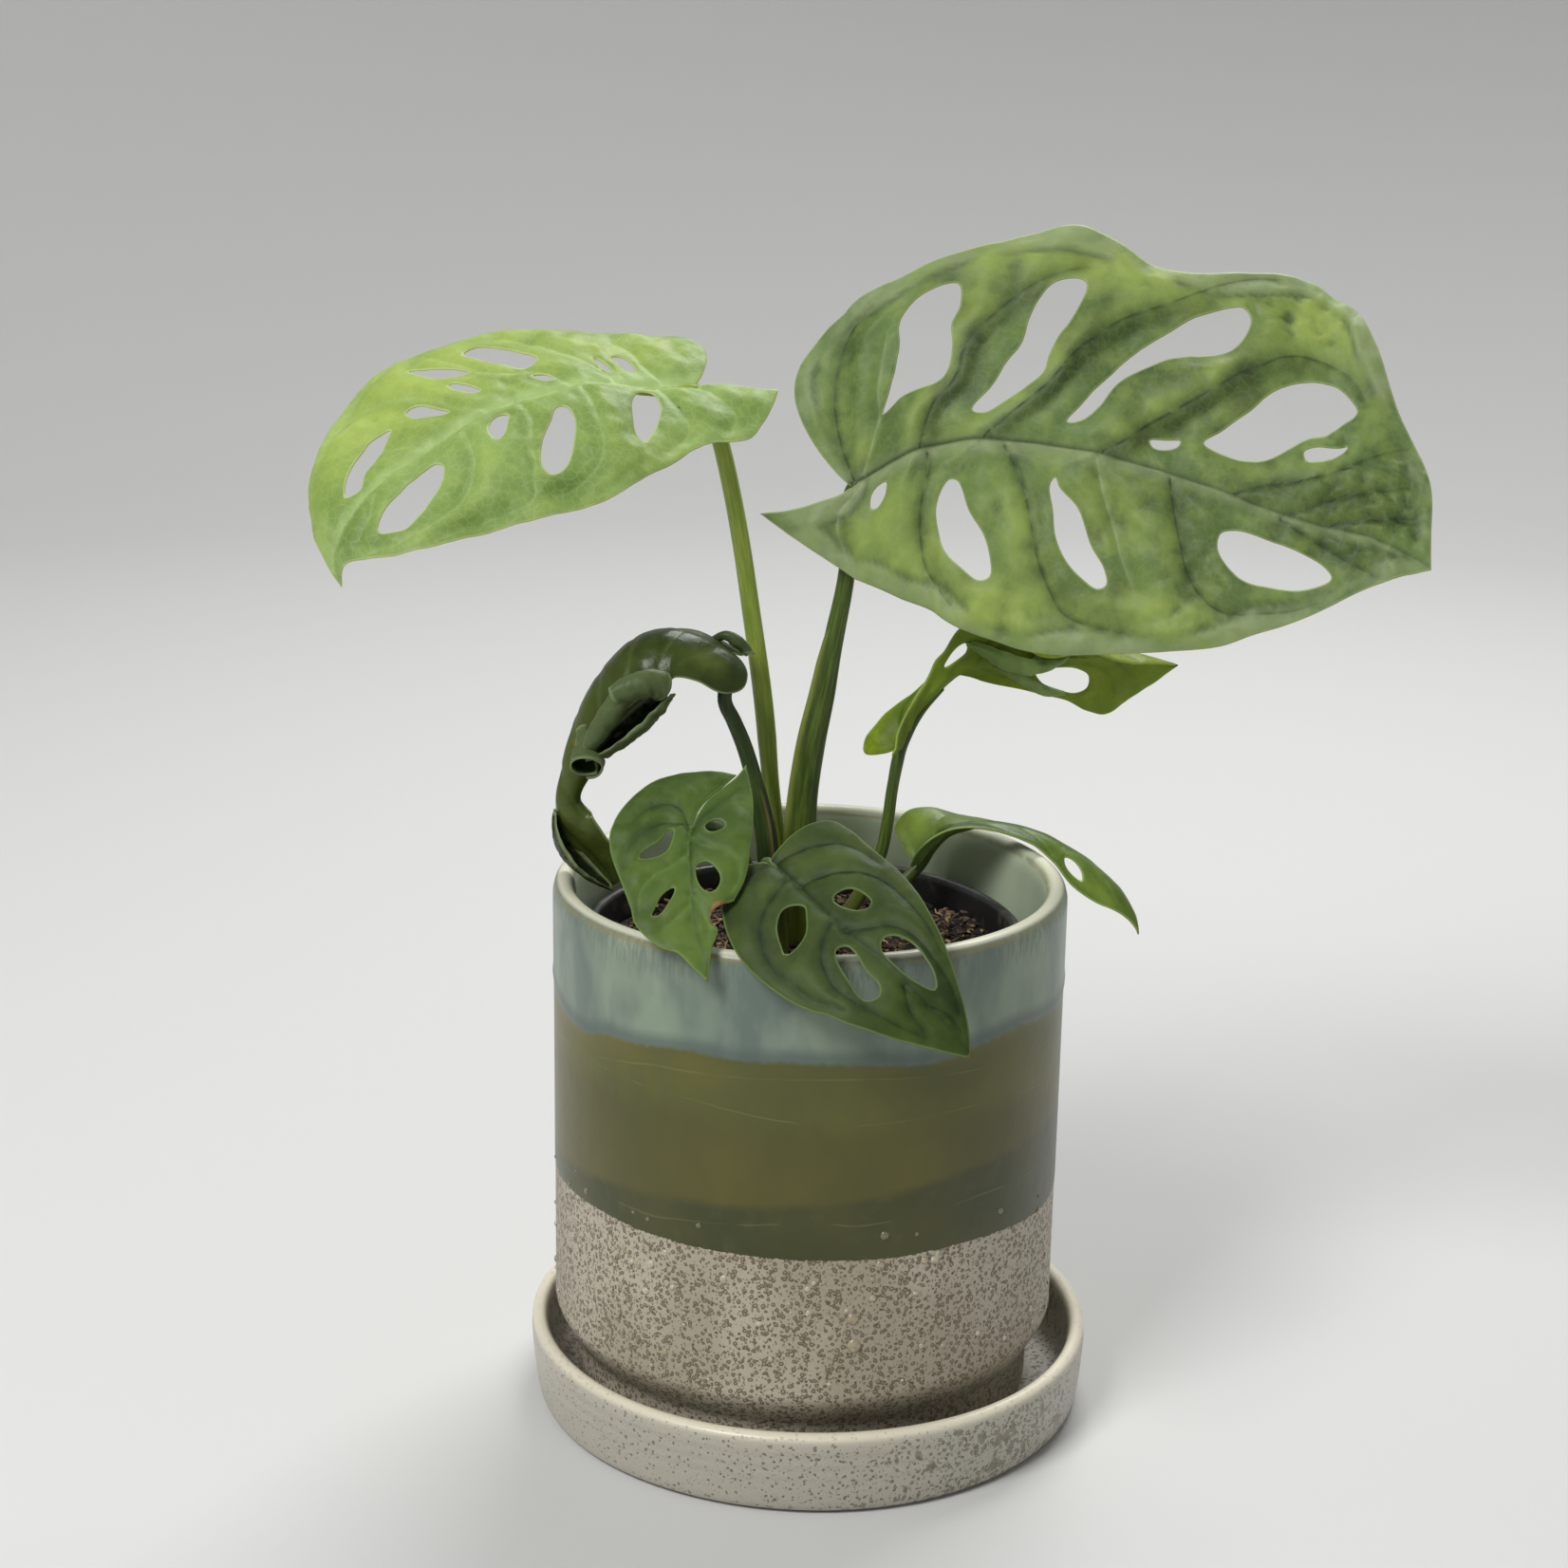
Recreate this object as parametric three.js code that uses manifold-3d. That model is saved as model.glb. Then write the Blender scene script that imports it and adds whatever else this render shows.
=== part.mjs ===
// A young swiss cheese vine in its black nursery pot, set in a glazed stoneware pot on a saucer.
// Millimetres, +Z up. The origin is on the stoneware pot's axis, on the surface the saucer stands on.
// The front, towards which the two small leaves hang over the rim, is -Y.
import * as THREE from 'three';
import { mergeVertices } from 'three/addons/utils/BufferGeometryUtils.js';
import Module from 'manifold-3d';

// Driving dimensions of the vessels.
const potRadius = 65;
const potTop = 140.7;
const potBore = 59.2;
const potChamferTop = 27;
const potFootRadius = 59;
const potFloor = 8;
const saucerRadius = 72.8;
const saucerTop = 21.6;
const saucerBore = 68.8;
const saucerFloor = 5.2;
const saucerShift = 1.6;
const nurseryTop = 128.2;
const nurseryRimRadius = 55.6;
const nurseryBaseRadius = 44;
const nurseryWall = 1;
const nurseryShift = new THREE.Vector2(-1.6, -2.4);
const soilLevel = 121.5;
const soilRelief = 1.1;

// Driving dimensions of the plant.
const bladeThickness = 0.8;
const seatGap = 0.3;
const holeGap = 0.5;
const plantingDepth = 14;
const petioleSides = 10;

const circleSteps = 64;
const group = new THREE.Group();

const stoneware = new THREE.MeshStandardMaterial({ color: 0x8f8a62, roughness: 0.45, metalness: 0 });
const saucerGlaze = new THREE.MeshStandardMaterial({ color: 0xd2ccba, roughness: 0.4, metalness: 0 });
const blackPlastic = new THREE.MeshStandardMaterial({ color: 0x1c1c1d, roughness: 0.5, metalness: 0 });
const pottingMix = new THREE.MeshStandardMaterial({ color: 0x5b432f, roughness: 1, metalness: 0 });

function leafMaterial(color) {
  return new THREE.MeshStandardMaterial({ color, roughness: 0.5, metalness: 0 });
}

function addMesh(name, geometry, material) {
  const mesh = new THREE.Mesh(geometry, material);
  mesh.name = name;
  group.add(mesh);
  return mesh;
}

// A turned piece from its profile of [radius, height] pairs, which starts and ends on the axis.
function turned(profile) {
  const points = profile.map(([radius, height]) => new THREE.Vector2(radius, height));
  const geometry = new THREE.LatheGeometry(points, circleSteps);
  geometry.rotateX(Math.PI / 2);
  return geometry;
}

// The saucer: a flat dish with a low upright wall that leans out a little.
function saucerGeometry() {
  return turned([
    [0, 0], [saucerRadius - 5.5, 0], [saucerRadius - 3.4, 0.9], [saucerRadius - 2.3, 3],
    [saucerRadius - 1.5, 7],
    [saucerRadius - 0.3, 15.5], [saucerRadius, saucerTop - 2], [saucerRadius - 0.5, saucerTop - 0.6],
    [saucerRadius - 1.6, saucerTop], [saucerBore + 1.2, saucerTop], [saucerBore + 0.2, saucerTop - 0.8],
    [saucerBore - 0.4, saucerTop - 3], [saucerBore - 1, 9.5], [saucerBore - 2.3, 6.4],
    [saucerBore - 5, saucerFloor], [0, saucerFloor],
  ]);
}

// The stoneware pot: a straight cylinder with a rounded lip and a bevel down to a narrower foot.
function potGeometry() {
  const base = saucerFloor;
  const inside = base + potFloor;
  return turned([
    [0, base], [potFootRadius - 0.8, base], [potFootRadius, base + 0.8], [potFootRadius + 0.3, 17.5],
    [potRadius - 2.6, potChamferTop - 4.6], [potRadius - 0.5, potChamferTop - 1],
    [potRadius, potChamferTop + 0.8],
    [potRadius, potTop - 3.2], [potRadius - 0.4, potTop - 1.5], [potRadius - 1.4, potTop - 0.35],
    [potRadius - 2.6, potTop], [potRadius - 3.9, potTop - 0.35], [potRadius - 5.1, potTop - 1.6],
    [potBore, potTop - 4], [potBore, inside + 5], [potBore - 1.6, inside + 1.5], [potBore - 5, inside],
    [0, inside],
  ]);
}

const nurseryBase = saucerFloor + potFloor;

// Inner radius of the nursery pot at a height: its wall tapers from the rim down to the base.
function nurseryBore(height) {
  const t = (height - nurseryBase) / (nurseryTop - nurseryBase);
  return nurseryBaseRadius - nurseryWall + t * (nurseryRimRadius - 2 - nurseryBaseRadius);
}

// The nursery pot: a thin tapered shell with a turned-out rim.
function nurseryGeometry() {
  const rimBottom = nurseryTop - 4.5;
  return turned([
    [0, nurseryBase], [nurseryBaseRadius, nurseryBase], [nurseryBore(rimBottom) + nurseryWall, rimBottom],
    [nurseryRimRadius, rimBottom], [nurseryRimRadius, nurseryTop], [nurseryBore(nurseryTop), nurseryTop],
    [nurseryBore(nurseryBase + nurseryWall), nurseryBase + nurseryWall], [0, nurseryBase + nurseryWall],
  ]);
}

// Height of the soil's uneven top at a point measured from the nursery pot's axis.
function soilHeight(x, y) {
  const waves = Math.sin(x * 0.31 + 1.2) * Math.cos(y * 0.27) + 0.6 * Math.sin(x * 0.13 - y * 0.19 + 0.4);
  return soilLevel + soilRelief * waves;
}

// A closed mesh as a solid that can be cut, and back again.
const wasm = await Module();
wasm.setup();

function toSolid(geometry) {
  const bare = geometry.clone();
  bare.deleteAttribute('normal');
  bare.deleteAttribute('uv');
  const merged = mergeVertices(bare, 1e-4);
  const mesh = new wasm.Mesh({
    numProp: 3,
    vertProperties: new Float32Array(merged.attributes.position.array),
    triVerts: new Uint32Array(merged.index.array),
  });
  return new wasm.Manifold(mesh);
}

function fromSolid(solid) {
  const mesh = solid.getMesh();
  const geometry = new THREE.BufferGeometry();
  geometry.setAttribute('position', new THREE.BufferAttribute(new Float32Array(mesh.vertProperties), 3));
  geometry.setIndex(new THREE.BufferAttribute(new Uint32Array(mesh.triVerts), 1));
  geometry.computeVertexNormals();
  return geometry;
}

// The potting mix: fills the nursery pot to just under its rim, with a plain hole for each leaf stalk.
function soilGeometry(holes) {
  const bottom = nurseryBase + nurseryWall;
  const side = (height) => nurseryBore(height) - seatGap;
  const geometry = turned([
    [0, bottom], [side(bottom) - seatGap, bottom], [side(soilLevel), soilLevel],
    [side(soilLevel) * 0.84, soilLevel],
    [side(soilLevel) * 0.66, soilLevel], [side(soilLevel) * 0.46, soilLevel],
    [side(soilLevel) * 0.24, soilLevel],
    [0, soilLevel],
  ]);
  const position = geometry.attributes.position;
  for (let i = 0; i < position.count; i++) {
    const x = position.getX(i);
    const y = position.getY(i);
    if (position.getZ(i) > soilLevel - 0.01 && Math.hypot(x, y) < side(soilLevel) * 0.9) {
      position.setZ(i, soilHeight(x, y));
    }
  }
  geometry.translate(nurseryShift.x, nurseryShift.y, 0);
  let solid = toSolid(geometry);
  for (const hole of holes) {
    const drill = new THREE.CylinderGeometry(hole.radius, hole.radius, 2 * plantingDepth, 12);
    drill.rotateX(Math.PI / 2);
    drill.translate(hole.x, hole.y, soilLevel);
    solid = solid.subtract(toSolid(drill));
  }
  return fromSolid(solid);
}

// A smooth value between knots: a cubic through the values with even slopes at the knots.
function smooth(knots, values, s) {
  const last = knots.length - 1;
  const at = Math.min(Math.max(s, knots[0]), knots[last]);
  let i = 0;
  while (i < last - 1 && at > knots[i + 1]) i++;
  const step = (j) => (values[j + 1] - values[j]) / (knots[j + 1] - knots[j]);
  const slope = (j) => {
    if (j === 0) return step(0);
    if (j === last) return step(last - 1);
    const before = knots[j] - knots[j - 1];
    const after = knots[j + 1] - knots[j];
    return (step(j - 1) * after + step(j) * before) / (before + after);
  };
  const h = knots[i + 1] - knots[i];
  const t = (at - knots[i]) / h;
  const rise = t * t * (3 - 2 * t);
  const bend = (t ** 3 - 2 * t * t + t) * h * slope(i) + (t ** 3 - t * t) * h * slope(i + 1);
  return values[i] * (1 - rise) + values[i + 1] * rise + bend;
}

const radians = Math.PI / 180;

// The curved surface that a flat blade is laid on.
// x runs along the midrib from the stalk, y across it, both in millimetres on the flat blade.
// A station holds, at a fraction of the midrib: the roll about it and, for the left and the right half,
// the fold at the midrib, the curl in degrees per 10 mm, and the distance and curl of the rolled margin.
class BladeSurface {
  constructor({ midrib, facing, facingPoint, straight, stations }) {
    this.points = midrib.map((p) => new THREE.Vector3(...p));
    this.knots = [0];
    for (let i = 1; i < this.points.length; i++) {
      this.knots.push(this.knots[i - 1] + this.points[i].distanceTo(this.points[i - 1]));
    }
    this.length = this.knots[this.knots.length - 1];
    this.facing = facing ? new THREE.Vector3(...facing).normalize() : null;
    this.facingPoint = facingPoint ? new THREE.Vector3(...facingPoint) : null;
    this.straight = straight;
    this.chord = this.points[this.points.length - 1].clone().sub(this.points[0]).normalize();
    this.stationKnots = stations.map((row) => row[0] * this.length);
    this.stations = stations.map((row) => (row.length > 6 ? row : [...row, 99, 0, 99, 0]));
  }

  along(s) {
    const axis = (key) => smooth(this.knots, this.points.map((p) => p[key]), s);
    return new THREE.Vector3(axis('x'), axis('y'), axis('z'));
  }

  station(column, s) {
    return smooth(this.stationKnots, this.stations.map((row) => row[column]), s);
  }

  at(x, y, lift = 0) {
    const s = Math.min(Math.max(x, 0), this.length);
    const centre = this.along(s);
    const ahead = this.along(Math.min(s + 1, this.length)).sub(this.along(Math.max(s - 1, 0))).normalize();
    const forward = ahead.multiplyScalar(1 - this.straight);
    forward.addScaledVector(this.chord, this.straight).normalize();
    const outward = this.facing ?? centre.clone().sub(this.facingPoint).normalize();
    const up = outward.clone().addScaledVector(forward, -outward.dot(forward)).normalize();
    const roll = this.station(1, s) * radians;
    const side = new THREE.Vector3().crossVectors(up, forward);
    const normal = up.clone().multiplyScalar(Math.cos(roll)).addScaledVector(side, Math.sin(roll));
    const across = side.multiplyScalar(Math.cos(roll)).addScaledVector(up, -Math.sin(roll));
    const left = y >= 0;
    const fold = this.station(left ? 2 : 4, s) * radians;
    const curl = this.station(left ? 3 : 5, s) * radians / 10 || 1e-5;
    const start = this.station(left ? 6 : 8, s);
    const hook = this.station(left ? 7 : 9, s) * radians / 10 || 1e-5;
    const inner = Math.min(Math.abs(y), start);
    const outer = Math.max(Math.abs(y) - start, 0);
    const middle = fold + curl * inner;
    const edge = middle + hook * outer;
    const out = (Math.sin(middle) - Math.sin(fold)) / curl + (Math.sin(edge) - Math.sin(middle)) / hook;
    const down = (Math.cos(fold) - Math.cos(middle)) / curl + (Math.cos(middle) - Math.cos(edge)) / hook;
    const sign = left ? 1 : -1;
    return centre
      .addScaledVector(forward, x - s)
      .addScaledVector(across, sign * (out + lift * Math.sin(edge)))
      .addScaledVector(normal, lift * Math.cos(edge) - down);
  }
}

// Points along a smooth curve through hand-set points, about one step apart.
function curvePoints(points, closed, step, squeeze) {
  const curve = new THREE.CatmullRomCurve3(
    points.map(([x, y]) => new THREE.Vector3(x, y * squeeze, 0)), closed, 'centripetal');
  const count = Math.max(Math.round(curve.getLength() / step), closed ? 5 : 1);
  return curve.getSpacedPoints(count).slice(0, count).map((p) => [p.x, p.y]);
}

function inside(loop, [x, y]) {
  let within = false;
  for (let i = 0, j = loop.length - 1; i < loop.length; j = i++) {
    const [ax, ay] = loop[i];
    const [bx, by] = loop[j];
    if (ay > y !== by > y && x < ((bx - ax) * (y - ay)) / (by - ay) + ax) within = !within;
  }
  return within;
}

// Bowyer-Watson triangulation of points in the plane.
function triangulate(points) {
  const all = [...points, [-9e3, -8e3], [9.1e3, -8.1e3], [120, 9.2e3]];
  const circle = (a, b, c) => {
    const [ax, ay] = all[a];
    const [bx, by] = all[b];
    const [cx, cy] = all[c];
    const d = 2 * ((bx - ax) * (cy - ay) - (by - ay) * (cx - ax));
    const b2 = (bx - ax) ** 2 + (by - ay) ** 2;
    const c2 = (cx - ax) ** 2 + (cy - ay) ** 2;
    const ux = ((cy - ay) * b2 - (by - ay) * c2) / d;
    const uy = ((bx - ax) * c2 - (cx - ax) * b2) / d;
    return { corners: d > 0 ? [a, b, c] : [a, c, b], x: ax + ux, y: ay + uy, r2: ux * ux + uy * uy };
  };
  const n = points.length;
  let triangles = [circle(n, n + 1, n + 2)];
  for (let i = 0; i < n; i++) {
    const [px, py] = all[i];
    const kept = [];
    const rim = new Map();
    for (const t of triangles) {
      if ((px - t.x) ** 2 + (py - t.y) ** 2 >= t.r2 * (1 + 1e-12)) {
        kept.push(t);
        continue;
      }
      for (let e = 0; e < 3; e++) {
        const from = t.corners[e];
        const to = t.corners[(e + 1) % 3];
        if (rim.has(`${to},${from}`)) rim.delete(`${to},${from}`);
        else rim.set(`${from},${to}`, [from, to]);
      }
    }
    for (const [from, to] of rim.values()) kept.push(circle(from, to, i));
    triangles = kept;
  }
  return triangles.map((t) => t.corners).filter((corners) => corners.every((c) => c < n));
}

// A blade: its flat outline and holes, triangulated, laid on its surface and given its thickness.
function bladeGeometry({ outline, holes, mesh, squeeze = 1, ...shape }) {
  const surface = new BladeSurface(shape);
  let loops = [outline.flatMap((arc) => curvePoints(arc, false, mesh, squeeze))];
  for (const hole of holes) loops.push(curvePoints(hole, true, mesh * 0.8, squeeze));
  const spread = loops[0].map(([x]) => x);
  const grid = [];
  let row = 0;
  for (let y = -90; y < 90; y += mesh * 0.87) {
    const shift = row++ % 2 ? mesh / 2 : 0;
    for (let x = Math.min(...spread) + shift; x < Math.max(...spread); x += mesh) {
      const point = [x + Math.sin(y * 7.1) * 0.1, y];
      if (!inside(loops[0], point) || loops.slice(1).some((hole) => inside(hole, point))) continue;
      const clear = loops.flat().every(([a, b]) => Math.hypot(a - point[0], b - point[1]) > mesh * 0.62);
      if (clear) grid.push(point);
    }
  }
  let points = [];
  let triangles = [];
  for (let attempt = 0; attempt < 12; attempt++) {
    points = [...loops.flat(), ...grid];
    triangles = triangulate(points);
    const edges = new Set(triangles.flatMap(([a, b, c]) => [`${a},${b}`, `${b},${c}`, `${c},${a}`]));
    let first = 0;
    let missing = 0;
    const start = loops.map((loop) => (first += loop.length) - loop.length);
    loops = loops.map((loop, k) => loop.flatMap((p, i) => {
      const next = (i + 1) % loop.length;
      const here = start[k] + i;
      const there = start[k] + next;
      if (edges.has(`${here},${there}`) || edges.has(`${there},${here}`)) return [p];
      missing++;
      return [p, [(p[0] + loop[next][0]) / 2, (p[1] + loop[next][1]) / 2]];
    }));
    if (!missing) break;
  }
  const kept = triangles.filter((corners) => {
    const middle = [0, 1].map((axis) => corners.reduce((sum, c) => sum + points[c][axis], 0) / 3);
    return inside(loops[0], middle) && !loops.slice(1).some((hole) => inside(hole, middle));
  });
  return closeBlade(points, kept, (x, y, lift) => surface.at(x, y / squeeze, lift));
}

// Both faces of a blade and the rim between them.
function closeBlade(points, triangles, place) {
  const positions = [];
  for (const lift of [bladeThickness / 2, -bladeThickness / 2]) {
    for (const [x, y] of points) positions.push(...place(x, y, lift).toArray());
  }
  const n = points.length;
  const index = [];
  const edges = new Map();
  for (const [a, b, c] of triangles) {
    index.push(a, b, c, c + n, b + n, a + n);
    for (const [from, to] of [[a, b], [b, c], [c, a]]) {
      if (edges.has(`${to},${from}`)) edges.delete(`${to},${from}`);
      else edges.set(`${from},${to}`, [from, to]);
    }
  }
  for (const [from, to] of edges.values()) index.push(to, from, from + n, to, from + n, to + n);
  const geometry = new THREE.BufferGeometry();
  geometry.setAttribute('position', new THREE.Float32BufferAttribute(positions, 3));
  geometry.setIndex(index);
  geometry.computeVertexNormals();
  return geometry;
}

// A leaf stalk: round sections along a smooth centre line, from its hole in the soil to the blade.
// Each point is [x, y, z, radius].
function petioleGeometry(points) {
  const [x, y, , radius] = points[0];
  const bottom = soilLevel - plantingDepth + seatGap;
  const path = [[x, y, bottom, radius], [x, y, soilLevel - 3, radius], ...points];
  const centres = path.map((point) => new THREE.Vector3(point[0], point[1], point[2]));
  const curve = new THREE.CatmullRomCurve3(centres, false, 'centripetal');
  const rings = Math.max(8, Math.round(curve.getLength() / 7));
  const frames = curve.computeFrenetFrames(rings, false);
  const positions = [];
  const index = [];
  for (let i = 0; i <= rings; i++) {
    const t = curve.getUtoTmapping(i / rings);
    const centre = curve.getPoint(t);
    const at = t * (path.length - 1);
    const k = Math.min(Math.floor(at), path.length - 2);
    const r = path[k][3] + (path[k + 1][3] - path[k][3]) * (at - k);
    for (let j = 0; j < petioleSides; j++) {
      const angle = (j / petioleSides) * 2 * Math.PI;
      const point = centre.clone()
        .addScaledVector(frames.normals[i], r * Math.cos(angle))
        .addScaledVector(frames.binormals[i], r * Math.sin(angle));
      positions.push(...point.toArray());
    }
  }
  for (let i = 0; i < rings; i++) {
    for (let j = 0; j < petioleSides; j++) {
      const a = i * petioleSides + j;
      const b = i * petioleSides + ((j + 1) % petioleSides);
      index.push(a, b, b + petioleSides, a, b + petioleSides, a + petioleSides);
    }
  }
  for (let j = 1; j < petioleSides - 1; j++) {
    const top = rings * petioleSides;
    index.push(0, j + 1, j, top, top + j, top + j + 1);
  }
  const geometry = new THREE.BufferGeometry();
  geometry.setAttribute('position', new THREE.Float32BufferAttribute(positions, 3));
  geometry.setIndex(index);
  geometry.computeVertexNormals();
  return geometry;
}

// The large right leaf: faces the front, nearly upright, with its tip out to the right.
const rightLarge = {
  name: 'leaf_right_large',
  color: 0x5e8047,
  mesh: 6.4,
  midrib: [
    [8, 4, 239], [19, 1, 246], [30, -2, 251], [47.5, -7, 252.5], [69, -13, 250], [90.5, -20, 245],
    [111.5, -28, 238.5], [129.5, -36, 235.5], [141, -43, 230.5],
  ],
  facing: [0.1, -0.93, 0.36],
  straight: 0.6,
  stations: [[0, 0, 0, 2, 0, 2], [0.3, 0, 0, 2.5, 0, 3], [0.7, 0, 0, 3, 0, 3.5], [1, 0, 0, 4, 0, 4]],
  outline: [
    [
      [0, 0], [-4, 4.5], [-9.5, 13], [-13, 22], [-13, 29], [-11, 33.5], [-5.5, 40], [2, 45], [16, 46.5],
      [29, 50.5],
      [43, 56], [48, 57], [55, 55.5], [65, 51.5], [74, 51.5], [87, 56], [98, 59.5], [106, 58],
      [115, 55.5],
      [121.5, 48.5], [131, 30], [141, 17], [144.5, 8], [147.5, 0],
    ],
    [
      [147.5, 0], [141, -5.5], [131, -14], [112, -28], [103, -35], [84, -43], [65, -48.5], [55, -49.5],
      [44, -48],
      [31, -44], [13.5, -34], [0, -23], [-18, -9], [-24, -4],
    ],
    [[-24, -4], [-15.5, -4], [-8, -3], [-2, -1.5], [0, 0]],
  ],
  holes: [
    [
      [10, 13.5], [12, 18.5], [14.5, 28], [14.5, 34], [17, 37.5], [21, 40], [26, 41], [27, 35], [26, 30],
      [26.5, 24], [26, 18.5], [24, 16], [15, 15.5],
    ],
    [
      [32, 8], [35.5, 13], [38.5, 20], [41, 25], [41.5, 31], [43, 37], [46, 41.5], [51, 43], [52.5, 41.5],
      [51, 32], [49, 27], [48, 22], [47.5, 17.5], [44, 13.5], [40, 10], [35.5, 7],
    ],
    [
      [55, 6.5], [57.5, 11], [61.5, 18.5], [66, 26], [72, 33.5], [77.5, 40], [84, 44.5], [88, 45.5],
      [90, 43],
      [88.5, 35], [85, 32], [77, 29], [71.5, 25.5], [64.5, 18.5], [62, 12], [58.5, 7.5],
    ],
    [
      [87.5, 10], [91, 14.5], [96, 21.5], [99.5, 27.5], [104, 32], [110, 35], [115.5, 35], [121.5, 30],
      [119, 26],
      [115.5, 22], [111, 20], [103.5, 12.5], [98, 9.5], [93, 9],
    ],
    [[111, 16.5], [113, 18], [119.5, 19.5], [121.5, 20.5], [119.5, 17], [112.5, 14.5]],
    [[75, 6.8], [78.5, 8], [82, 9], [81.5, 7], [76.5, 5.3]],
    [[5.5, -8], [6, -5], [8, -3.7], [10.5, -4], [10, -7], [7.5, -9]],
    [
      [28, -9.3], [30.5, -9.8], [35, -17.5], [39.5, -23], [42, -28.5], [42.5, -33], [40, -34],
      [34.5, -31],
      [28, -26], [25, -19.5], [25, -14],
    ],
    [
      [55, -7.3], [56.5, -9.5], [62, -13.5], [67, -21.5], [71.5, -26], [73, -29.5], [71, -31],
      [66.5, -29.5],
      [61.5, -26], [58, -21], [56, -15], [54, -9.5],
    ],
    [
      [97.5, -9.5], [101, -7.3], [109, -6.7], [115.5, -7], [121.5, -8.8], [124.5, -11.5], [118.5, -15.5],
      [111.5, -17], [105, -17.5], [98, -13.3],
    ],
  ],
  stalk: [
    [-2, 5, 124.5, 4.4], [-2.5, 5.5, 148, 4.3], [-2, 5.5, 159, 3.9], [0, 5.5, 174, 3.7],
    [2.5, 5.5, 186.5, 3.3],
    [5, 5.5, 201, 2.5], [7.5, 6, 215, 2.15], [8.5, 6.5, 227.5, 2],
  ],
  stalkTip: 1.7,
};

// The large left leaf: arches out to the left, its near half towards the front and its tip turned down.
const leftLarge = {
  name: 'leaf_left_large',
  color: 0x8cab56,
  mesh: 5,
  midrib: [
    [-30, 8, 263], [-43.5, 3, 263], [-55.5, -2, 263.5], [-63, -5, 262.5], [-71, -8, 260],
    [-79, -12, 257.5],
    [-86.5, -16, 253.5], [-94, -20, 248], [-101.5, -25, 244], [-107.5, -29, 239.5], [-111.5, -32, 233],
    [-113, -33, 224.5],
  ],
  facing: [-0.05, -0.52, 0.85],
  straight: 0.4,
  stations: [
    [0, 0, 0, 6, 30, 6], [0.12, 0, 0, 6, 2, 4], [0.3, 0, 0, 7, 0, 4], [0.7, 0, 0, 7, 0, 7],
    [1, 0, 0, 7, 0, 22],
  ],
  outline: [
    [[0, 0], [-6, 2.5], [-12.5, 6.5], [-18, 9]],
    [
      [-18, 9], [-15, 13], [-10.5, 17.5], [-5.5, 21], [3.5, 21], [10, 23], [18, 27.5], [28.5, 32],
      [37.5, 34.5],
      [46.5, 34.5], [60, 32.5], [77, 26], [86, 23], [96.5, 17], [103, 9], [108.3, 0],
    ],
    [
      [108.3, 0], [104, -8], [98, -15], [91, -23], [82, -31], [70, -36.5], [60, -36.5], [47, -35],
      [36, -32.5],
      [29.5, -30.5], [20, -27.5], [11, -25], [3, -22.5], [-4, -20], [-8, -14], [-7, -7], [-3, -2], [0, 0],
    ],
  ],
  holes: [
    [
      [12, 7], [14.5, 12.5], [18.5, 18], [21.5, 20.5], [22.5, 18.5], [21, 12], [18, 5], [14.8, 2],
      [12.2, 2.8],
    ],
    [[36, 7], [36, 11], [40, 18], [45, 23], [49.5, 23.8], [50.5, 21], [46, 13.8], [41.5, 9.5], [38, 6]],
    [[49.5, 2.4], [51, 5], [53.5, 8], [56, 8.8], [56.5, 6], [55, 3.3], [51.8, 1.6]],
    [
      [70.5, 5.3], [72, 7.7], [77, 11.3], [83, 14], [89, 14.5], [94.5, 9.5], [90, 7.3], [83.5, 5.8],
      [75, 3.4],
      [71.3, 3.4],
    ],
    [[12.5, -8], [13.5, -6.5], [16, -9.5], [16.3, -13.3], [13.5, -13]],
    [[18.7, -6.5], [20.5, -7], [21.2, -12.5], [19.6, -10.5]],
    [[33.8, -5.2], [36, -6], [38, -9], [35, -7.8]],
    [
      [34, -15.5], [36.3, -13], [39, -12.7], [42.3, -17], [45.5, -22], [47, -27], [43.5, -28.5],
      [36.3, -19.7],
    ],
    [[50.8, -9], [52.4, -9], [55, -12.8], [55.3, -16.3], [52.7, -14]],
    [[49.3, -17.7], [51.8, -17.8], [56, -21], [58, -25.5], [59, -30], [55.5, -26.5], [51.5, -21.7]],
    [[60, -7.5], [63.5, -10], [67, -13.7], [66.8, -17], [64.5, -16.5], [62, -12.5]],
    [
      [72.7, -15], [76, -12], [82, -7.5], [85.5, -6], [89.3, -3], [92.5, -4.5], [88.8, -9], [83.3, -13],
      [77, -15.5],
    ],
  ],
  stalk: [
    [-8, 11.5, 124.5, 2.4], [-8.5, 11, 146, 2.4], [-10, 11, 157.5, 2.4], [-12.5, 10.5, 182.5, 2.4],
    [-15.5, 10.5, 203.5, 2.3], [-19.5, 10, 228.5, 2.2], [-24, 10, 248.5, 2.1], [-26.5, 10, 255.5, 2],
  ],
  stalkTip: 1.6,
};

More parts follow.
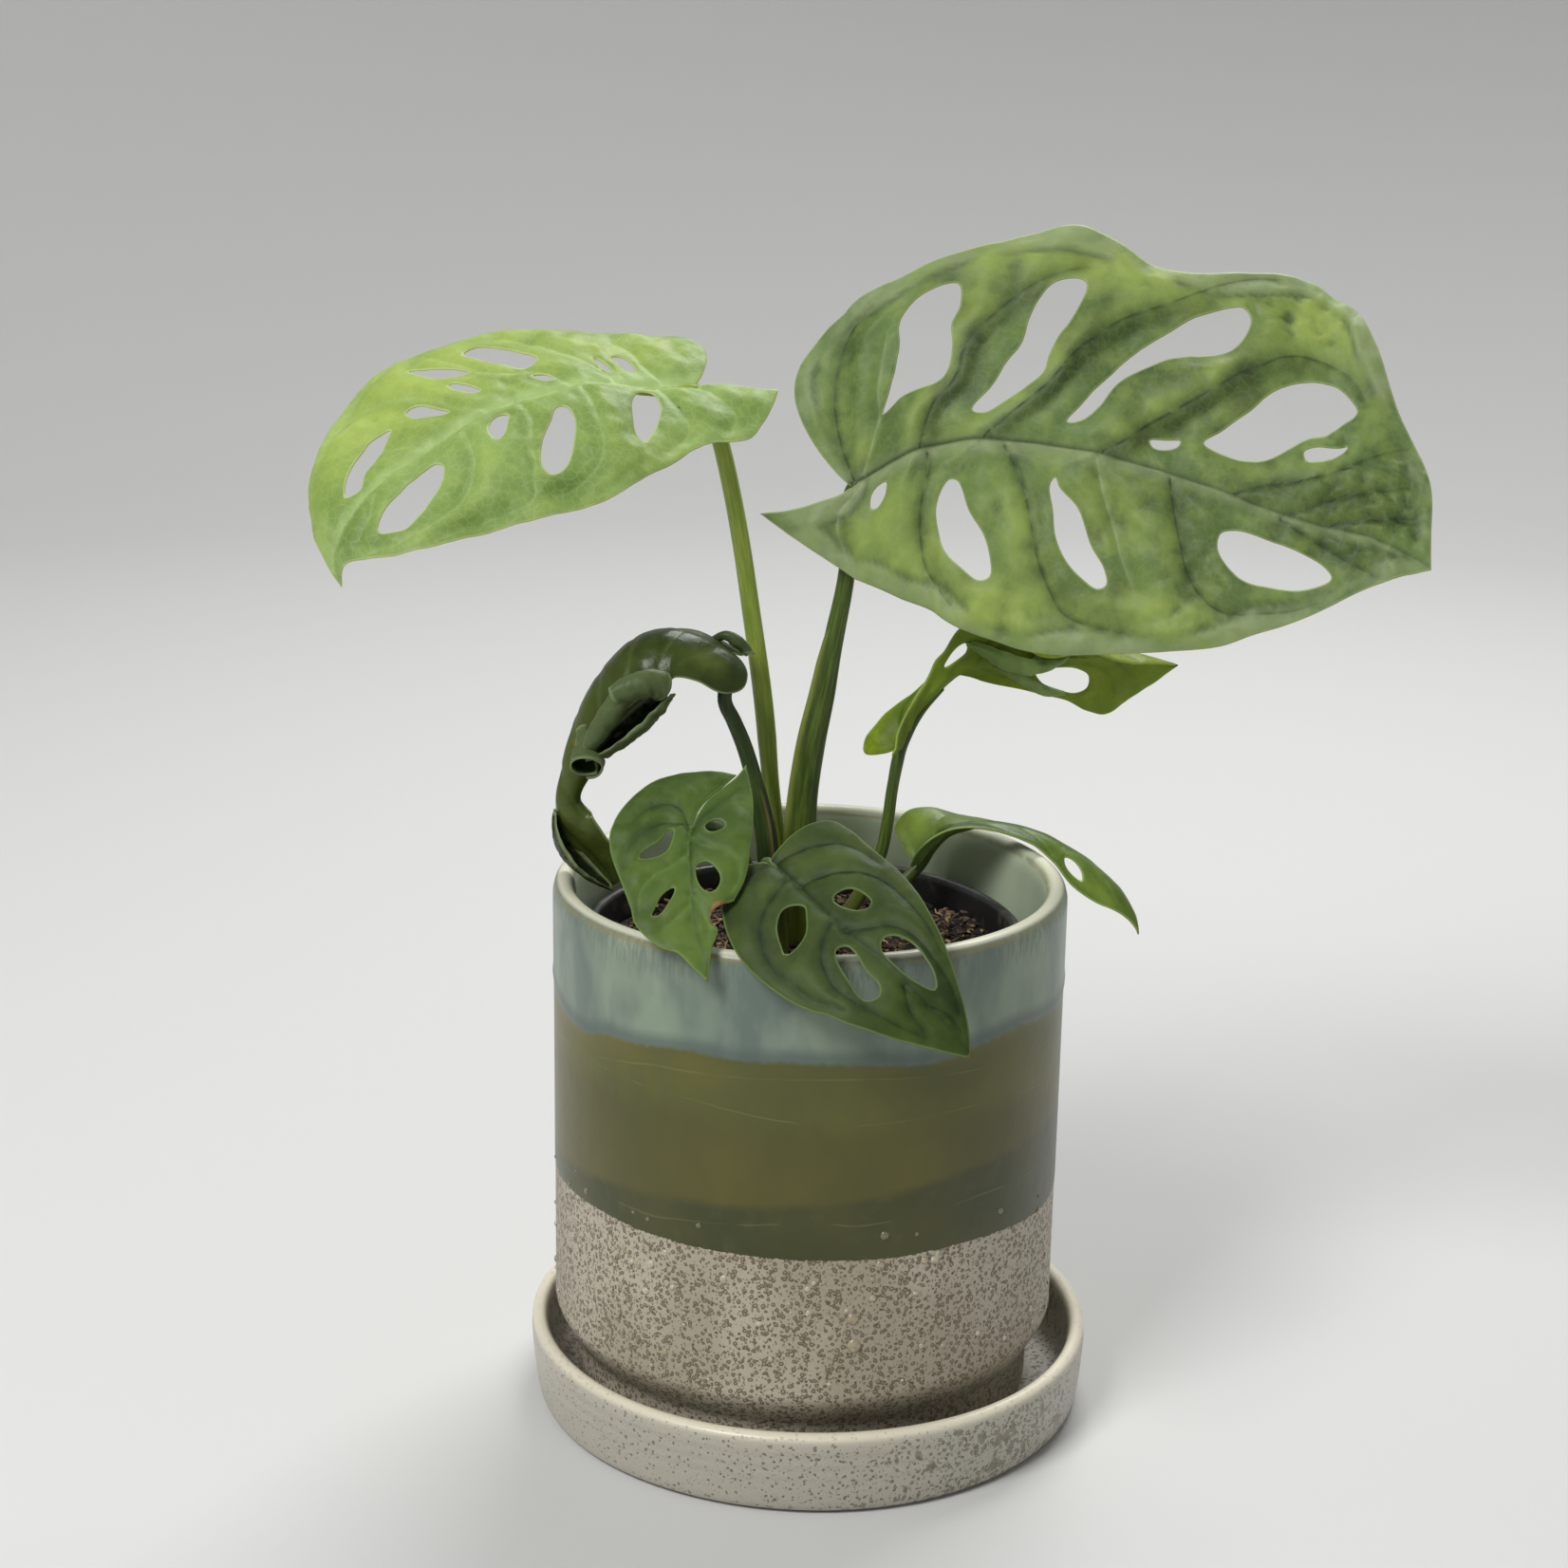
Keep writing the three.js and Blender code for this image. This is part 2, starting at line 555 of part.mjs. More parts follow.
// The curled leaf: an arched dome that runs down to the pot's left rim, both margins rolled into scrolls.
const curled = {
  name: 'leaf_curled',
  color: 0x35491f,
  mesh: 4.4,
  squeeze: 2.3,
  midrib: [
    [-20, -3, 198.5], [-26.5, -4, 202.5], [-35, -4.5, 204.5], [-44, -5, 202], [-51, -5, 195.5],
    [-57, -5, 186],
    [-60.5, -5, 176.5], [-62.5, -5, 167.5], [-63.8, -5, 159.5], [-62.3, -5, 154], [-58.7, -4.3, 149.5],
    [-54.2, -3, 144.5], [-51.2, -2, 140], [-49.6, -1, 135.5],
  ],
  facingPoint: [-45, -3, 171],
  straight: 0,
  stations: [
    [0, 0, 5, 44, 0, 20, 16, 10, 10, -70], [0.1, 0, 5, 44, 4, 30, 15.5, 10, 12, 10],
    [0.13, 0, 5, 44, 6, 36, 15, 10, 13, 40], [0.165, 0, 5, 44, 8, 40, 15, -132, 14, 45],
    [0.2, 0, 5, 44, 8, 40, 15, -135, 14, 45], [0.34, 0, 5, 46, 8, 42, 12.5, -160, 14, 45],
    [0.48, 0, 5, 50, 8, 48, 9.5, -195, 14, 45], [0.515, 0, 5, 52, 8, 50, 9, -200, 14, 45],
    [0.56, 0, -15, 128, 8, 60, 24, 0, 14, 45], [0.6, 0, -15, 135, 8, 64, 24, 0, 14, 45],
    [0.68, 0, -10, 200, 5, 95, 24, 0, 14, 30], [0.72, 0, 0, 180, 0, 90, 24, 0, 14, 20],
    [0.8, 0, 45, 35, -45, 35, 24, 0, 14, 0], [1, 0, 45, 30, -45, 35, 24, 0, 14, 0],
  ],
  outline: [
    [[0, 0], [-3, 2.5], [-5, 7], [-4, 13], [1, 17], [8, 17.5], [13, 16], [16.5, 15.5]],
    [
      [16.5, 15.5], [16.8, 22], [17.3, 29], [19.5, 33], [25, 32.5], [29.5, 30], [31, 25], [32, 22.5],
      [33, 25],
      [34.5, 28.5], [40, 26], [46, 23], [50.5, 20], [51.5, 14],
    ],
    [[51.5, 14], [52, 8.5], [54, 6], [56, 8.5], [56.5, 14]],
    [
      [56.5, 14], [57, 20.5], [60, 21.5], [64.5, 16.5], [69, 12.5], [74, 10], [80, 9.5], [87, 8.5],
      [94, 6.5], [100, 3],
    ],
    [
      [100, 3], [101, 0], [99, -3.5], [93, -6.5], [86, -9], [79, -9.5], [73, -8.5], [69, -8.5], [63, -12],
      [56, -17], [48, -20.5], [38, -21.5], [28, -21], [18, -19], [10, -16.5], [5, -18.5], [0, -18.5],
      [-4, -15], [-5, -9], [-3, -3], [0, 0],
    ],
  ],
  holes: [],
  stalk: [
    [-10, 0.5, 124.5, 2.9], [-11.1, -1, 147.5, 2.9], [-12.3, -1, 156, 2.8], [-13.5, -1.5, 161.5, 2.4],
    [-15, -1.5, 167.5, 2.1], [-17.3, -2, 175, 2], [-19.8, -2, 181, 1.9], [-22, -2.4, 186, 1.8],
  ],
  stalkTip: 1.6,
};

// The small front left leaf: hangs towards the front, with a torn right margin.
const frontLeft = {
  name: 'leaf_front_left',
  color: 0x6d9440,
  mesh: 3.9,
  midrib: [
    [-29, -38, 164], [-29.5, -42, 161], [-29, -49, 155], [-28.5, -54, 151], [-27.5, -60, 145.5],
    [-25.5, -65, 141.5],
    [-24, -69, 137],
  ],
  facing: [0, -0.75, 0.66],
  straight: 0.3,
  stations: [[0, 0, -6, 8, -6, 8], [1, 0, 0, 8, 0, 8]],
  outline: [
    [[0, 0], [-7.5, 3.2], [-12.5, 7.4], [-15.5, 10], [-19, 12]],
    [[-19, 12], [-14.5, 13.2], [-9.5, 14.3], [2.5, 14.8], [11.5, 14.3], [17, 12.6], [21.5, 10.3]],
    [
      [21.5, 10.3], [23, 6.3], [24.5, 4.8], [26.5, 4.5], [29.5, 5.7], [31.8, 4.6], [34, 3], [38.7, 1.2],
      [42.7, 0],
    ],
    [
      [42.7, 0], [37, -3.6], [33.3, -5.5], [31, -8.5], [25.2, -13.4], [21, -14.2], [12, -16.7],
      [3.5, -19],
      [-2, -18], [-6.5, -15.5], [-12, -10.5], [-14.5, -6], [-16, -1.5], [-15.8, 3], [-14.6, 6],
    ],
    [[-14.6, 6], [-11.5, 4.6], [-7, 1.6], [-3, 0], [0, 0]],
  ],
  holes: [
    [[1, -5], [1.3, -4], [4.3, -4], [7, -5], [8.6, -9], [8, -11.7], [6.3, -10], [4.4, -6.8]],
    [[-2.3, 6], [-1.3, 8], [0, 8], [1.2, 6], [1.3, 4.3], [-0.5, 3.4]],
    [
      [10.5, 4], [11.2, 5.3], [13.6, 7], [15.7, 7.3], [18.3, 6.2], [19, 4.8], [17.5, 2.9], [14.5, 1.8],
      [11.4, 2],
    ],
    [[17, -3.6], [18.3, -3.7], [21.3, -5.4], [23.7, -7.3], [24, -9.3], [21.8, -8.3], [18.7, -6.4]],
  ],
  stalk: [
    [-13.5, -8, 124.5, 1.8], [-14.5, -13, 142, 1.7], [-19.5, -23, 156, 1.6], [-25.5, -33, 162.6, 1.5],
  ],
  stalkTip: 1.3,
};

// The small front centre leaf: hangs over the front rim, its tip down to the right.
const frontCentre = {
  name: 'leaf_front_centre',
  color: 0x43612a,
  mesh: 4.4,
  midrib: [
    [-10.5, -42, 157], [-3, -52, 152.8], [3.5, -60, 149.1], [9, -66, 146], [15.5, -71, 143],
    [22, -75.5, 138], [28.5, -78, 132], [36.5, -80, 123],
  ],
  facing: [0.05, -0.8, 0.6],
  straight: 0.3,
  stations: [[0, 0, -4, 7, -8, 7], [0.4, 0, -2, 7, -4, 7], [1, 0, 0, 8, 0, 8]],
  outline: [
    [
      [0, 0], [-1, 4], [-2, 10], [-1, 16], [1.5, 19], [6.7, 20.4], [15.5, 20.8], [24.5, 21.2],
      [36, 19.5], [43, 16.3],
      [50.5, 13.3], [57, 10], [67.7, 3.8], [72.8, 0],
    ],
    [
      [72.8, 0], [67.7, -4], [58, -10.5], [52, -13.7], [47, -16.5], [37.5, -19.3], [31, -21], [24, -21.8],
      [16.7, -21.4], [9, -19.2], [3, -16], [-2, -11], [-3, -6], [-1.5, -2.5], [0, 0],
    ],
  ],
  holes: [
    [[20.3, 6], [20.9, 8.6], [23.3, 10.2], [28, 10.3], [29, 8.8], [27.5, 6.3], [23.3, 4.3], [21, 4.4]],
    [
      [38.7, 5.2], [40.3, 7], [44, 8.3], [48.7, 7.8], [52.8, 6.6], [55.5, 4.2], [49.8, 2], [45.2, 1.6],
      [41.3, 1.8], [39.4, 3],
    ],
    [
      [17.3, -1.9], [20.7, -3.6], [24.2, -6.6], [25.6, -10.2], [25.1, -13.3], [22.3, -12.5],
      [17.2, -9.6], [14.8, -5.7],
    ],
    [
      [33.3, -1.9], [35.5, -1.9], [41.5, -4.3], [46.5, -4.7], [48, -6.4], [47.2, -9], [45.2, -9.7],
      [35.2, -6.6], [32.3, -4],
    ],
  ],
  stalk: [
    [-7, -11, 124.5, 1.9], [-8, -16, 138, 1.8], [-9.5, -26, 149.3, 1.7], [-10.8, -35.5, 154.2, 1.6],
  ],
  stalkTip: 1.4,
};

// The twisted leaf behind on the right: folded at its base, one half arched forward and one hanging.
const backTwisted = {
  name: 'leaf_back_twisted',
  color: 0x8fa024,
  mesh: 4,
  midrib: [
    [21.5, 8, 171.5], [23.2, 9, 176.5], [26.5, 11, 181.5], [31, 13, 186], [35, 15, 189.5],
    [41.5, 17, 192],
    [49, 19, 192.5], [59, 21, 193], [71, 23, 193.5], [83.5, 25, 193], [93.5, 26, 190.5],
  ],
  facing: [-0.25, -0.1, 0.95],
  straight: 0.1,
  stations: [
    [0, 0, -35, 0, -35, 0], [0.15, 0, -10, 0, -70, 0], [0.25, 0, 0, 0, -80, 0, 99, 0, 9, 30],
    [0.36, 0, 40, 10, -85, 0, 99, 0, 9, 60], [0.5, 0, 65, 5, -70, 0, 99, 0, 6, 140],
    [0.68, 0, 68, 4, -40, 10, 99, 0, 6, 60], [0.8, 0, 68, 4, -15, 20, 99, 0, 6, 20],
    [1, 0, 60, 0, 0, 10, 99, 0, 6, 10],
  ],
  outline: [
    [
      [0, 0], [-2.5, 3], [-4.5, 8], [-1.5, 9.5], [6, 8], [14, 6.5], [24, 6.5], [34, 8], [44, 10],
      [50, 12],
      [56, 14.5], [62, 18], [68, 19.5], [74, 16.5], [80, 10], [84.7, 0],
    ],
    [
      [84.7, 0], [76, -7], [66, -12], [58, -15], [50, -17], [42, -16.5], [34, -13], [28, -10.5], [23, -7],
      [17, -4.5], [10, -3.8], [3, -5], [-1.5, -5.5], [-2, -2.5], [0, 0],
    ],
  ],
  holes: [
    [[23, -3.2], [25, -2.6], [29, -3.8], [29.5, -6.2], [26, -5.4]],
    [[47, 4], [52, 3.5], [58, 4.5], [61.5, 7], [61.5, 11], [58, 12.5], [53, 10.5], [49, 8]],
  ],
  stalk: [
    [9.5, 11, 124.5, 1.9], [13.5, 9.5, 133, 1.8], [18, 9, 143.5, 1.6], [19.5, 8.5, 152, 1.55],
    [20.5, 8.5, 161, 1.5],
  ],
  stalkTip: 1.4,
};

// The small back right leaf: arches over the right rim and hangs outside it.
const backRight = {
  name: 'leaf_back_right',
  color: 0x6f8a1f,
  mesh: 3.8,
  midrib: [
    [28, 22, 137], [31, 22.5, 142.2], [35.5, 23.5, 146], [41.3, 25, 147.5], [47.5, 25.5, 147.5],
    [53.8, 25, 146.7], [60, 24, 145], [66.2, 22.5, 141.8], [73.5, 20, 137.3], [80.8, 18, 131.2],
    [84.8, 17, 125], [87, 16, 116.5],
  ],
  facing: [0, 0, 1],
  straight: 0.2,
  stations: [
    [0, 0, -45, 0, -35, 3], [0.13, 0, -15, 3, -25, 3], [0.25, 0, 12, 4, -16, 2], [0.52, 0, 14, 4, -12, 1],
    [0.62, 0, 12, 4, -2, 2], [0.8, 0, 10, 4, 35, 4], [1, 0, 10, 4, 30, 4],
  ],
  outline: [
    [
      [0, 0], [-3.5, 3], [-6, 8], [-3, 12], [4, 13.5], [11, 12], [20, 9], [34, 8.5], [46, 8], [58, 6.5],
      [68, 3.5],
      [75.5, 0],
    ],
    [
      [75.5, 0], [68, -3.5], [60, -7.5], [52, -8.5], [44, -6.5], [36, -5.5], [28, -5.5], [20, -6],
      [8, -6.5],
      [1, -5], [-1.5, -2], [0, 0],
    ],
  ],
  holes: [[[46, -2.6], [48.5, -2], [52, -3.5], [53, -5.5], [50, -5.8], [47, -4.6]]],
  stalk: [[17.5, 22, 124.5, 1.7], [20, 22, 127.5, 1.6], [23.8, 21.8, 131.2, 1.5]],
  stalkTip: 1.4,
};

// Where a stalk ends: it turns to run just under the blade along the first millimetres of the midrib.
function stalkEnd(leaf) {
  const surface = new BladeSurface(leaf);
  const drop = bladeThickness / 2 + seatGap + leaf.stalkTip;
  const ends = [surface.at(0, 0, -drop), surface.at(4, 0, -drop - 0.35)];
  return ends.map((point) => [...point.toArray(), leaf.stalkTip]);
}

const leaves = [rightLarge, leftLarge, curled, frontLeft, frontCentre, backTwisted, backRight];
const plantingHoles = leaves.map(({ stalk: [[x, y, , radius]] }) => ({ x, y, radius: radius + holeGap }));

const saucer = addMesh('saucer', saucerGeometry(), saucerGlaze);
saucer.position.x = saucerShift;
addMesh('ceramic_pot', potGeometry(), stoneware);
const nursery = addMesh('nursery_pot', nurseryGeometry(), blackPlastic);
nursery.position.set(nurseryShift.x, nurseryShift.y, 0);
addMesh('potting_mix', soilGeometry(plantingHoles), pottingMix);
for (const leaf of leaves) {
  const material = leafMaterial(leaf.color);
  addMesh(leaf.name, bladeGeometry(leaf), material);
  const stalk = petioleGeometry([...leaf.stalk, ...stalkEnd(leaf)]);
  addMesh(leaf.name.replace('leaf', 'stalk'), stalk, material);
}

export default group;
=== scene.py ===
import math
import bpy
import numpy as np
from mathutils import Matrix, Vector, noise
from mathutils.geometry import delaunay_2d_cdt
from mathutils.kdtree import KDTree


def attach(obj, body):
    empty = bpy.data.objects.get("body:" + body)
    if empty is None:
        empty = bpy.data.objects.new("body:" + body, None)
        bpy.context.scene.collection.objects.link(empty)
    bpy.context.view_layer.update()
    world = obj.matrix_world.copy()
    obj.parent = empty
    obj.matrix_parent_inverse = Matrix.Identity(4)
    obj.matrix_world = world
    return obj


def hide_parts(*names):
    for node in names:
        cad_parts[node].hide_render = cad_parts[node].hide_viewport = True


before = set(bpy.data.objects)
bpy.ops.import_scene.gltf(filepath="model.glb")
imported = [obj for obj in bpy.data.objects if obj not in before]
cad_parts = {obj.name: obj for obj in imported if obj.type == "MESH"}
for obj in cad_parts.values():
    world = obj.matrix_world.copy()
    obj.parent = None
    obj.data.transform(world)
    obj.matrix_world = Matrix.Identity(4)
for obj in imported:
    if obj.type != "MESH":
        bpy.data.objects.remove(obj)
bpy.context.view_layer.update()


# Saucer. A shallow dish thrown in buff stoneware, dipped in a thin cream glaze and fired: iron specks
# burn through the glaze, close together on the right of its wall and sparse on the left.
# It stands on the table, and the pot sits loose in it.
def paint(colour):
    """A colour given as red, green and blue from 0 to 255, as the shader takes it."""
    return (*(((c / 255 + 0.055) / 1.055) ** 2.4 for c in colour), 1.0)


class Field:
    """A value, a place or a colour that varies over a surface. What is done to it, the shader works out."""

    def __init__(self, finish, socket):
        self.finish, self.socket = finish, socket

    def sum(self, kind, other=0.0):
        return self.finish.node("Math", 0, {0: self, 1: other}, operation=kind)

    def __add__(self, other):
        return self.sum("ADD", other)

    def __sub__(self, other):
        return self.sum("SUBTRACT", other)

    def __mul__(self, other):
        return self.sum("MULTIPLY", other)

    def __abs__(self):
        return self.sum("ABSOLUTE")

    def most(self, other):
        return self.sum("MAXIMUM", other)

    def drawn_out(self, x, y, z):
        """The same places stretched, so that a texture on them runs in streaks."""
        return self.finish.node("VectorMath", "Vector", {0: self, 1: (x, y, z)}, operation="MULTIPLY")

    def cloud(self, size, detail=3.0, roughness=0.5, swirl=0.0):
        """Soft mottling at these places, 0 to 1, with marks about size across in millimetres."""
        return self.finish.node("TexNoise", "Fac", {
            "Vector": self, "Scale": 1000 / size, "Detail": detail, "Roughness": roughness,
            "Distortion": swirl})

    def cells(self, size, feature="F1"):
        """Distance from the middle, or from the edge, of cells about size across in millimetres."""
        return self.finish.node("TexVoronoi", "Distance", {"Vector": self, "Scale": 1000 / size},
                                feature=feature)

    def ease(self, start, end):
        """0 before start, 1 past end, and a soft step between them."""
        return self.finish.node("MapRange", "Result", {"Value": self, "From Min": start, "From Max": end},
                                interpolation_type="SMOOTHSTEP")

    def between(self, first, second):
        """The first colour, turned into the second by this amount."""
        return self.finish.node("Mix", 2, {0: self, 6: first, 7: second}, data_type="RGBA")

    def coated(self, *coats):
        """This colour under coats, each with its amount and its colour."""
        colour = self
        for amount, coat in coats:
            colour = amount.between(colour, coat)
        return colour

    def raised(self, depth, *below):
        """Relief from this height of 0 to 1, depth millimetres deep, on top of the relief below it."""
        inputs = {"Strength": 1.0, "Distance": depth / 1000, "Height": self}
        inputs.update({"Normal": relief for relief in below})
        return self.finish.node("Bump", "Normal", inputs)


class Finish:
    """One surface finish: a Principled shader and the textures that feed it."""

    def __init__(self, name, **settings):
        self.material = bpy.data.materials.new(name)
        self.material.use_nodes = True
        self.tree = self.material.node_tree
        self.shader = self.tree.nodes["Principled BSDF"]
        self.join(self.shader, {socket.replace("_", " "): value for socket, value in settings.items()})

    def join(self, node, inputs):
        for name, value in inputs.items():
            socket = node.inputs[name]
            if isinstance(value, Field):
                self.tree.links.new(value.socket, socket)
            else:
                socket.default_value = paint(value) if socket.type == "RGBA" else value

    def node(self, kind, output, inputs, **settings):
        """What comes out of a new node of the shader."""
        node = self.tree.nodes.new("ShaderNode" + kind)
        for name, value in settings.items():
            setattr(node, name, value)
        self.join(node, inputs)
        return Field(self, node.outputs[output])

    def whole(self):
        """Places on the piece as it stands."""
        return self.node("TexCoord", "Object", {})

    def worked(self, name, output="Fac"):
        """A value or a place that was worked into the mesh by name."""
        return self.node("Attribute", output, {}, attribute_name=name)

    def finished(self, colour, roughness, normal):
        self.join(self.shader, {"Base Color": colour, "Roughness": roughness, "Normal": normal})
        return self.material


def piece(name, points, faces, node, material, layers=()):
    """A finished mesh from points in millimetres, which stands for its node and rides on the plant."""
    mesh = bpy.data.meshes.new(name)
    mesh.from_pydata((np.asarray(points) / 1000).tolist(), [], faces)
    mesh.shade_smooth()
    mesh.materials.append(material)
    for layer, values in dict(layers).items():
        values = np.asarray(values, np.float32)
        kind, field = ("FLOAT_VECTOR", "vector") if values.ndim > 1 else ("FLOAT", "value")
        mesh.attributes.new(layer, kind, "POINT").data.foreach_set(field, values.ravel())
    made = bpy.data.objects.new(name, mesh)
    bpy.context.scene.collection.objects.link(made)
    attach(made, "root")
    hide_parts(node)
    return made


def section(profile, rounds=2):
    """A turned section with softened corners. Each row has a radius, a height and the step up to it."""
    points = [np.array(profile[0][:2], float)]
    for radius, height, step in profile[1:]:
        start = points[-1]
        end = np.array((radius, height), float)
        count = max(1, round(np.linalg.norm(end - start) / step))
        points += [start + (end - start) * k / count for k in range(1, count + 1)]
    points = np.array(points)
    for _ in range(rounds):
        points[1:-1] = (points[:-2] + 2 * points[1:-1] + points[2:]) / 4
    return points


def tube(rings, sides):
    """Faces over a middle point, rings of points one after another, and a last middle point."""
    faces = [(0, 1 + (j + 1) % sides, 1 + j) for j in range(sides)]
    for i in range(rings - 1):
        low, high = 1 + i * sides, 1 + (i + 1) * sides
        faces += [(low + j, low + (j + 1) % sides, high + (j + 1) % sides, high + j) for j in range(sides)]
    low = 1 + (rings - 1) * sides
    return faces + [(low + sides, low + j, low + (j + 1) % sides) for j in range(sides)]


def turned(profile, columns, worked=lambda angles, radius, height: (0, 0)):
    """Points and faces of a section spun round its axis. worked() moves each ring out and up."""
    angles = np.arange(columns) / columns * 2 * math.pi
    points = [(0, 0, profile[0][1])]
    for radius, height in profile[1:-1]:
        out, up = worked(angles, radius, height)
        points += np.column_stack([
            (radius + out) * np.sin(angles), -(radius + out) * np.cos(angles), height + up + 0 * angles,
        ]).tolist()
    points.append((0, 0, profile[-1][1]))
    return np.array(points), tube(len(profile) - 2, columns)


def speckled(where, cover, light, brown, dark):
    """Stoneware with burnt-through iron specks: its colour, the specks, and their relief.
    cover is 0 where the specks are sparse and 1 where they run together."""
    ragged = where.cloud(0.9, 2.0, 0.6) * 0.5 - 0.25
    level = where.cloud(8.0, 2.0) * 0.24 + (cover * 0.23 + 0.05)
    spots = where.cells(1.55) + ragged
    grains = where.drawn_out(1, 1, 0.8).cells(0.85) + ragged
    speck = spots.ease(level, level - 0.05).most(grains.ease(level, level - 0.08))
    ring = abs(spots - level + 0.04).ease(0.06, 0.01)
    bead = spots.ease(level - 0.16, level - 0.24)
    colour = (where.cloud(0.5, 2.0).ease(0.25, 0.8) * 0.2).between(light, brown).coated(
        (speck * 0.8, brown), (ring * 0.7, dark), (bead * 0.45, light))
    return colour, speck, bead * 0.5 - ring * 0.5


def fade(apart, reach):
    """1 where nothing is apart, and less and less beyond the reach."""
    return np.exp(-(apart / reach) ** 2)


saucer_shift = 1.6
saucer_section = section([
    (0, 0, 9), (60, 0, 5), (68.7, 0, 1), (70.6, 0.9, 0.8), (71.3, 3, 0.8), (71.8, 7, 1), (72.6, 15.5, 1),
    (72.8, 19.6, 0.8), (72.3, 21, 0.5), (71.2, 21.6, 0.4), (70, 21.6, 0.4), (69, 20.8, 0.4),
    (68.4, 18.6, 0.7), (67.8, 9.5, 1), (66.5, 6.4, 0.8), (63.8, 5.2, 0.8), (40, 5.2, 3), (0, 5.2, 6),
])


def saucer_worked(angles, radius, height):
    """The wall wanders a little from the thrower's hands, and the floor keeps faint turning rings."""
    out = 0.22 * np.sin(2 * angles + 0.6) + 0.1 * np.sin(5 * angles + height * 0.2)
    out *= min(radius / 60, 1)
    if 8 < height < 21 and radius > 70:
        out = out + 0.1 * math.sin(height * 1.9)
    rise = 0.16 * np.sin(angles * 3 + 1.0) if height > 15 else 0.0
    if height == 5.2 and radius < 63:
        rise = 0.08 * math.sin(radius * 1.1)
    return out, rise


cream_glaze = Finish("cream_saucer_glaze", Coat_Weight=0.25, Coat_Roughness=0.18)
spot, crowd = cream_glaze.whole(), cream_glaze.worked("crowd")
clay, speck, relief = speckled(spot, crowd, (178, 173, 160), (120, 110, 90), (86, 76, 60))
reach = crowd * 0.34 + 0.29
splash = (spot.cloud(1.6, 3.0, 0.6) * 0.5 + spot.drawn_out(1, 1, 0.6).cells(3.9)).ease(reach, reach - 0.05)
clay = clay.coated((splash * 0.75, (114, 108, 88)), (cream_glaze.worked("lip") * 0.72, (236, 229, 204)))
cream_glaze.finished(clay, speck * -0.1 + 0.42, spot.cloud(3.5, 2.0).raised(0.12, relief.raised(0.16)))

points, faces = turned(saucer_section, 288, saucer_worked)
turn = np.arctan2(points[:, 0], -points[:, 1])
radius = np.hypot(points[:, 0], points[:, 1])
crowd = 0.12 + 0.75 * fade(turn - 0.75, 0.62) * (points[:, 2] < 19) * (radius > 69)
crowd += 0.55 * (radius < 68.6) + 0.3 * fade(np.abs(turn) - 2.6, 0.5)
lip = fade(points[:, 2] - 21.4, 1.5) * (radius > 67)
points[:, 0] += saucer_shift
piece("glazed_saucer", points, faces, "saucer", cream_glaze.material,
      {"crowd": crowd, "lip": lip})


# Pot. A straight cylinder thrown in the same stoneware, its foot bevelled in. The lower band is left
# speckled and bare. Over it come an olive glaze, poured twice so that it laps darker, and a celadon glaze
# round the top that has run down in scallops. Both break to brown on the rounded lip.
pot_section = section([
    (0, 5.2, 12), (50, 5.2, 8), (58.2, 5.2, 2), (59, 6, 0.6), (59.3, 17.5, 1.5), (62.4, 22.4, 1),
    (64.5, 26, 1), (65, 27.8, 0.8), (65, 137.5, 1.3), (64.6, 139.2, 0.5), (63.6, 140.35, 0.4),
    (62.4, 140.7, 0.4), (61.1, 140.35, 0.4), (59.9, 139.1, 0.4), (59.2, 136.7, 0.6), (59.2, 120, 1.5),
    (59.2, 18.2, 6), (57.6, 14.7, 1.5), (54.2, 13.2, 2), (0, 13.2, 12),
])

pot_wall = 64.9

# Where each glaze ends round the pot: degrees from the front towards the right, and the height.
celadon_hem = [
    (-180, 113), (-160, 115.4), (-140, 112), (-122, 114.2), (-100, 112.4), (-82, 115), (-65, 110.9),
    (-56, 110.4), (-50, 112.6), (-47, 113.1), (-39, 113.5), (-33, 114.2), (-25, 115.2), (-14, 114.3),
    (-3, 114.8), (12.5, 114.1), (22, 112.8), (29.5, 112.6), (37, 114.5), (51.5, 115.7), (70, 113.6),
    (88, 115.5), (105, 112.4), (124, 114.6), (146, 111.8), (163, 115), (180, 113),
]
olive_hem = [
    (-180, 75), (-140, 73), (-100, 72), (-73, 72), (-62, 72.7), (-50, 74.4), (-38, 75.6), (-27, 76.6),
    (-12, 77.3), (3, 78.5), (18, 80.2), (28, 82), (37, 82.6), (48, 83.6), (73, 84.4), (105, 83), (140, 79),
    (180, 75),
]
glaze_hem = [
    (-180, 63.6), (-130, 64.6), (-95, 64), (-67, 65.1), (-50, 65.7), (-38, 65.3), (-15, 64.9), (-4, 64.6),
    (10, 64.3), (19, 63.9), (37, 64), (48, 63.2), (66, 61.4), (85, 61.6), (110, 63.8), (145, 62.8),
    (180, 63.6),
]
second_pour = [
    (-180, 92), (-120, 97), (-60, 101.5), (-24, 101), (-7, 99.8), (9, 98.9), (26, 99.8), (48, 98.7),
    (72, 94.6), (110, 90), (150, 90), (180, 92),
]
hair_lines = [
    [(-180, 104), (-120, 108), (-60, 104.3), (-34, 109.5), (-16, 110.1), (1, 110.7), (12, 110.5), (60, 107),
     (120, 109), (180, 104)],
    [(-180, 99), (-110, 103), (-52, 104.2), (-24, 102.8), (-7, 100.2), (7, 98.8), (22, 99.1), (42, 99.7),
     (72, 95.2), (120, 97), (180, 99)],
    [(-180, 71), (-100, 70), (-50, 70.6), (-34, 70.2), (-27, 71.4), (-12, 72.8), (0, 74.6), (11, 73),
     (40, 75.4), (100, 73), (180, 71)],
]


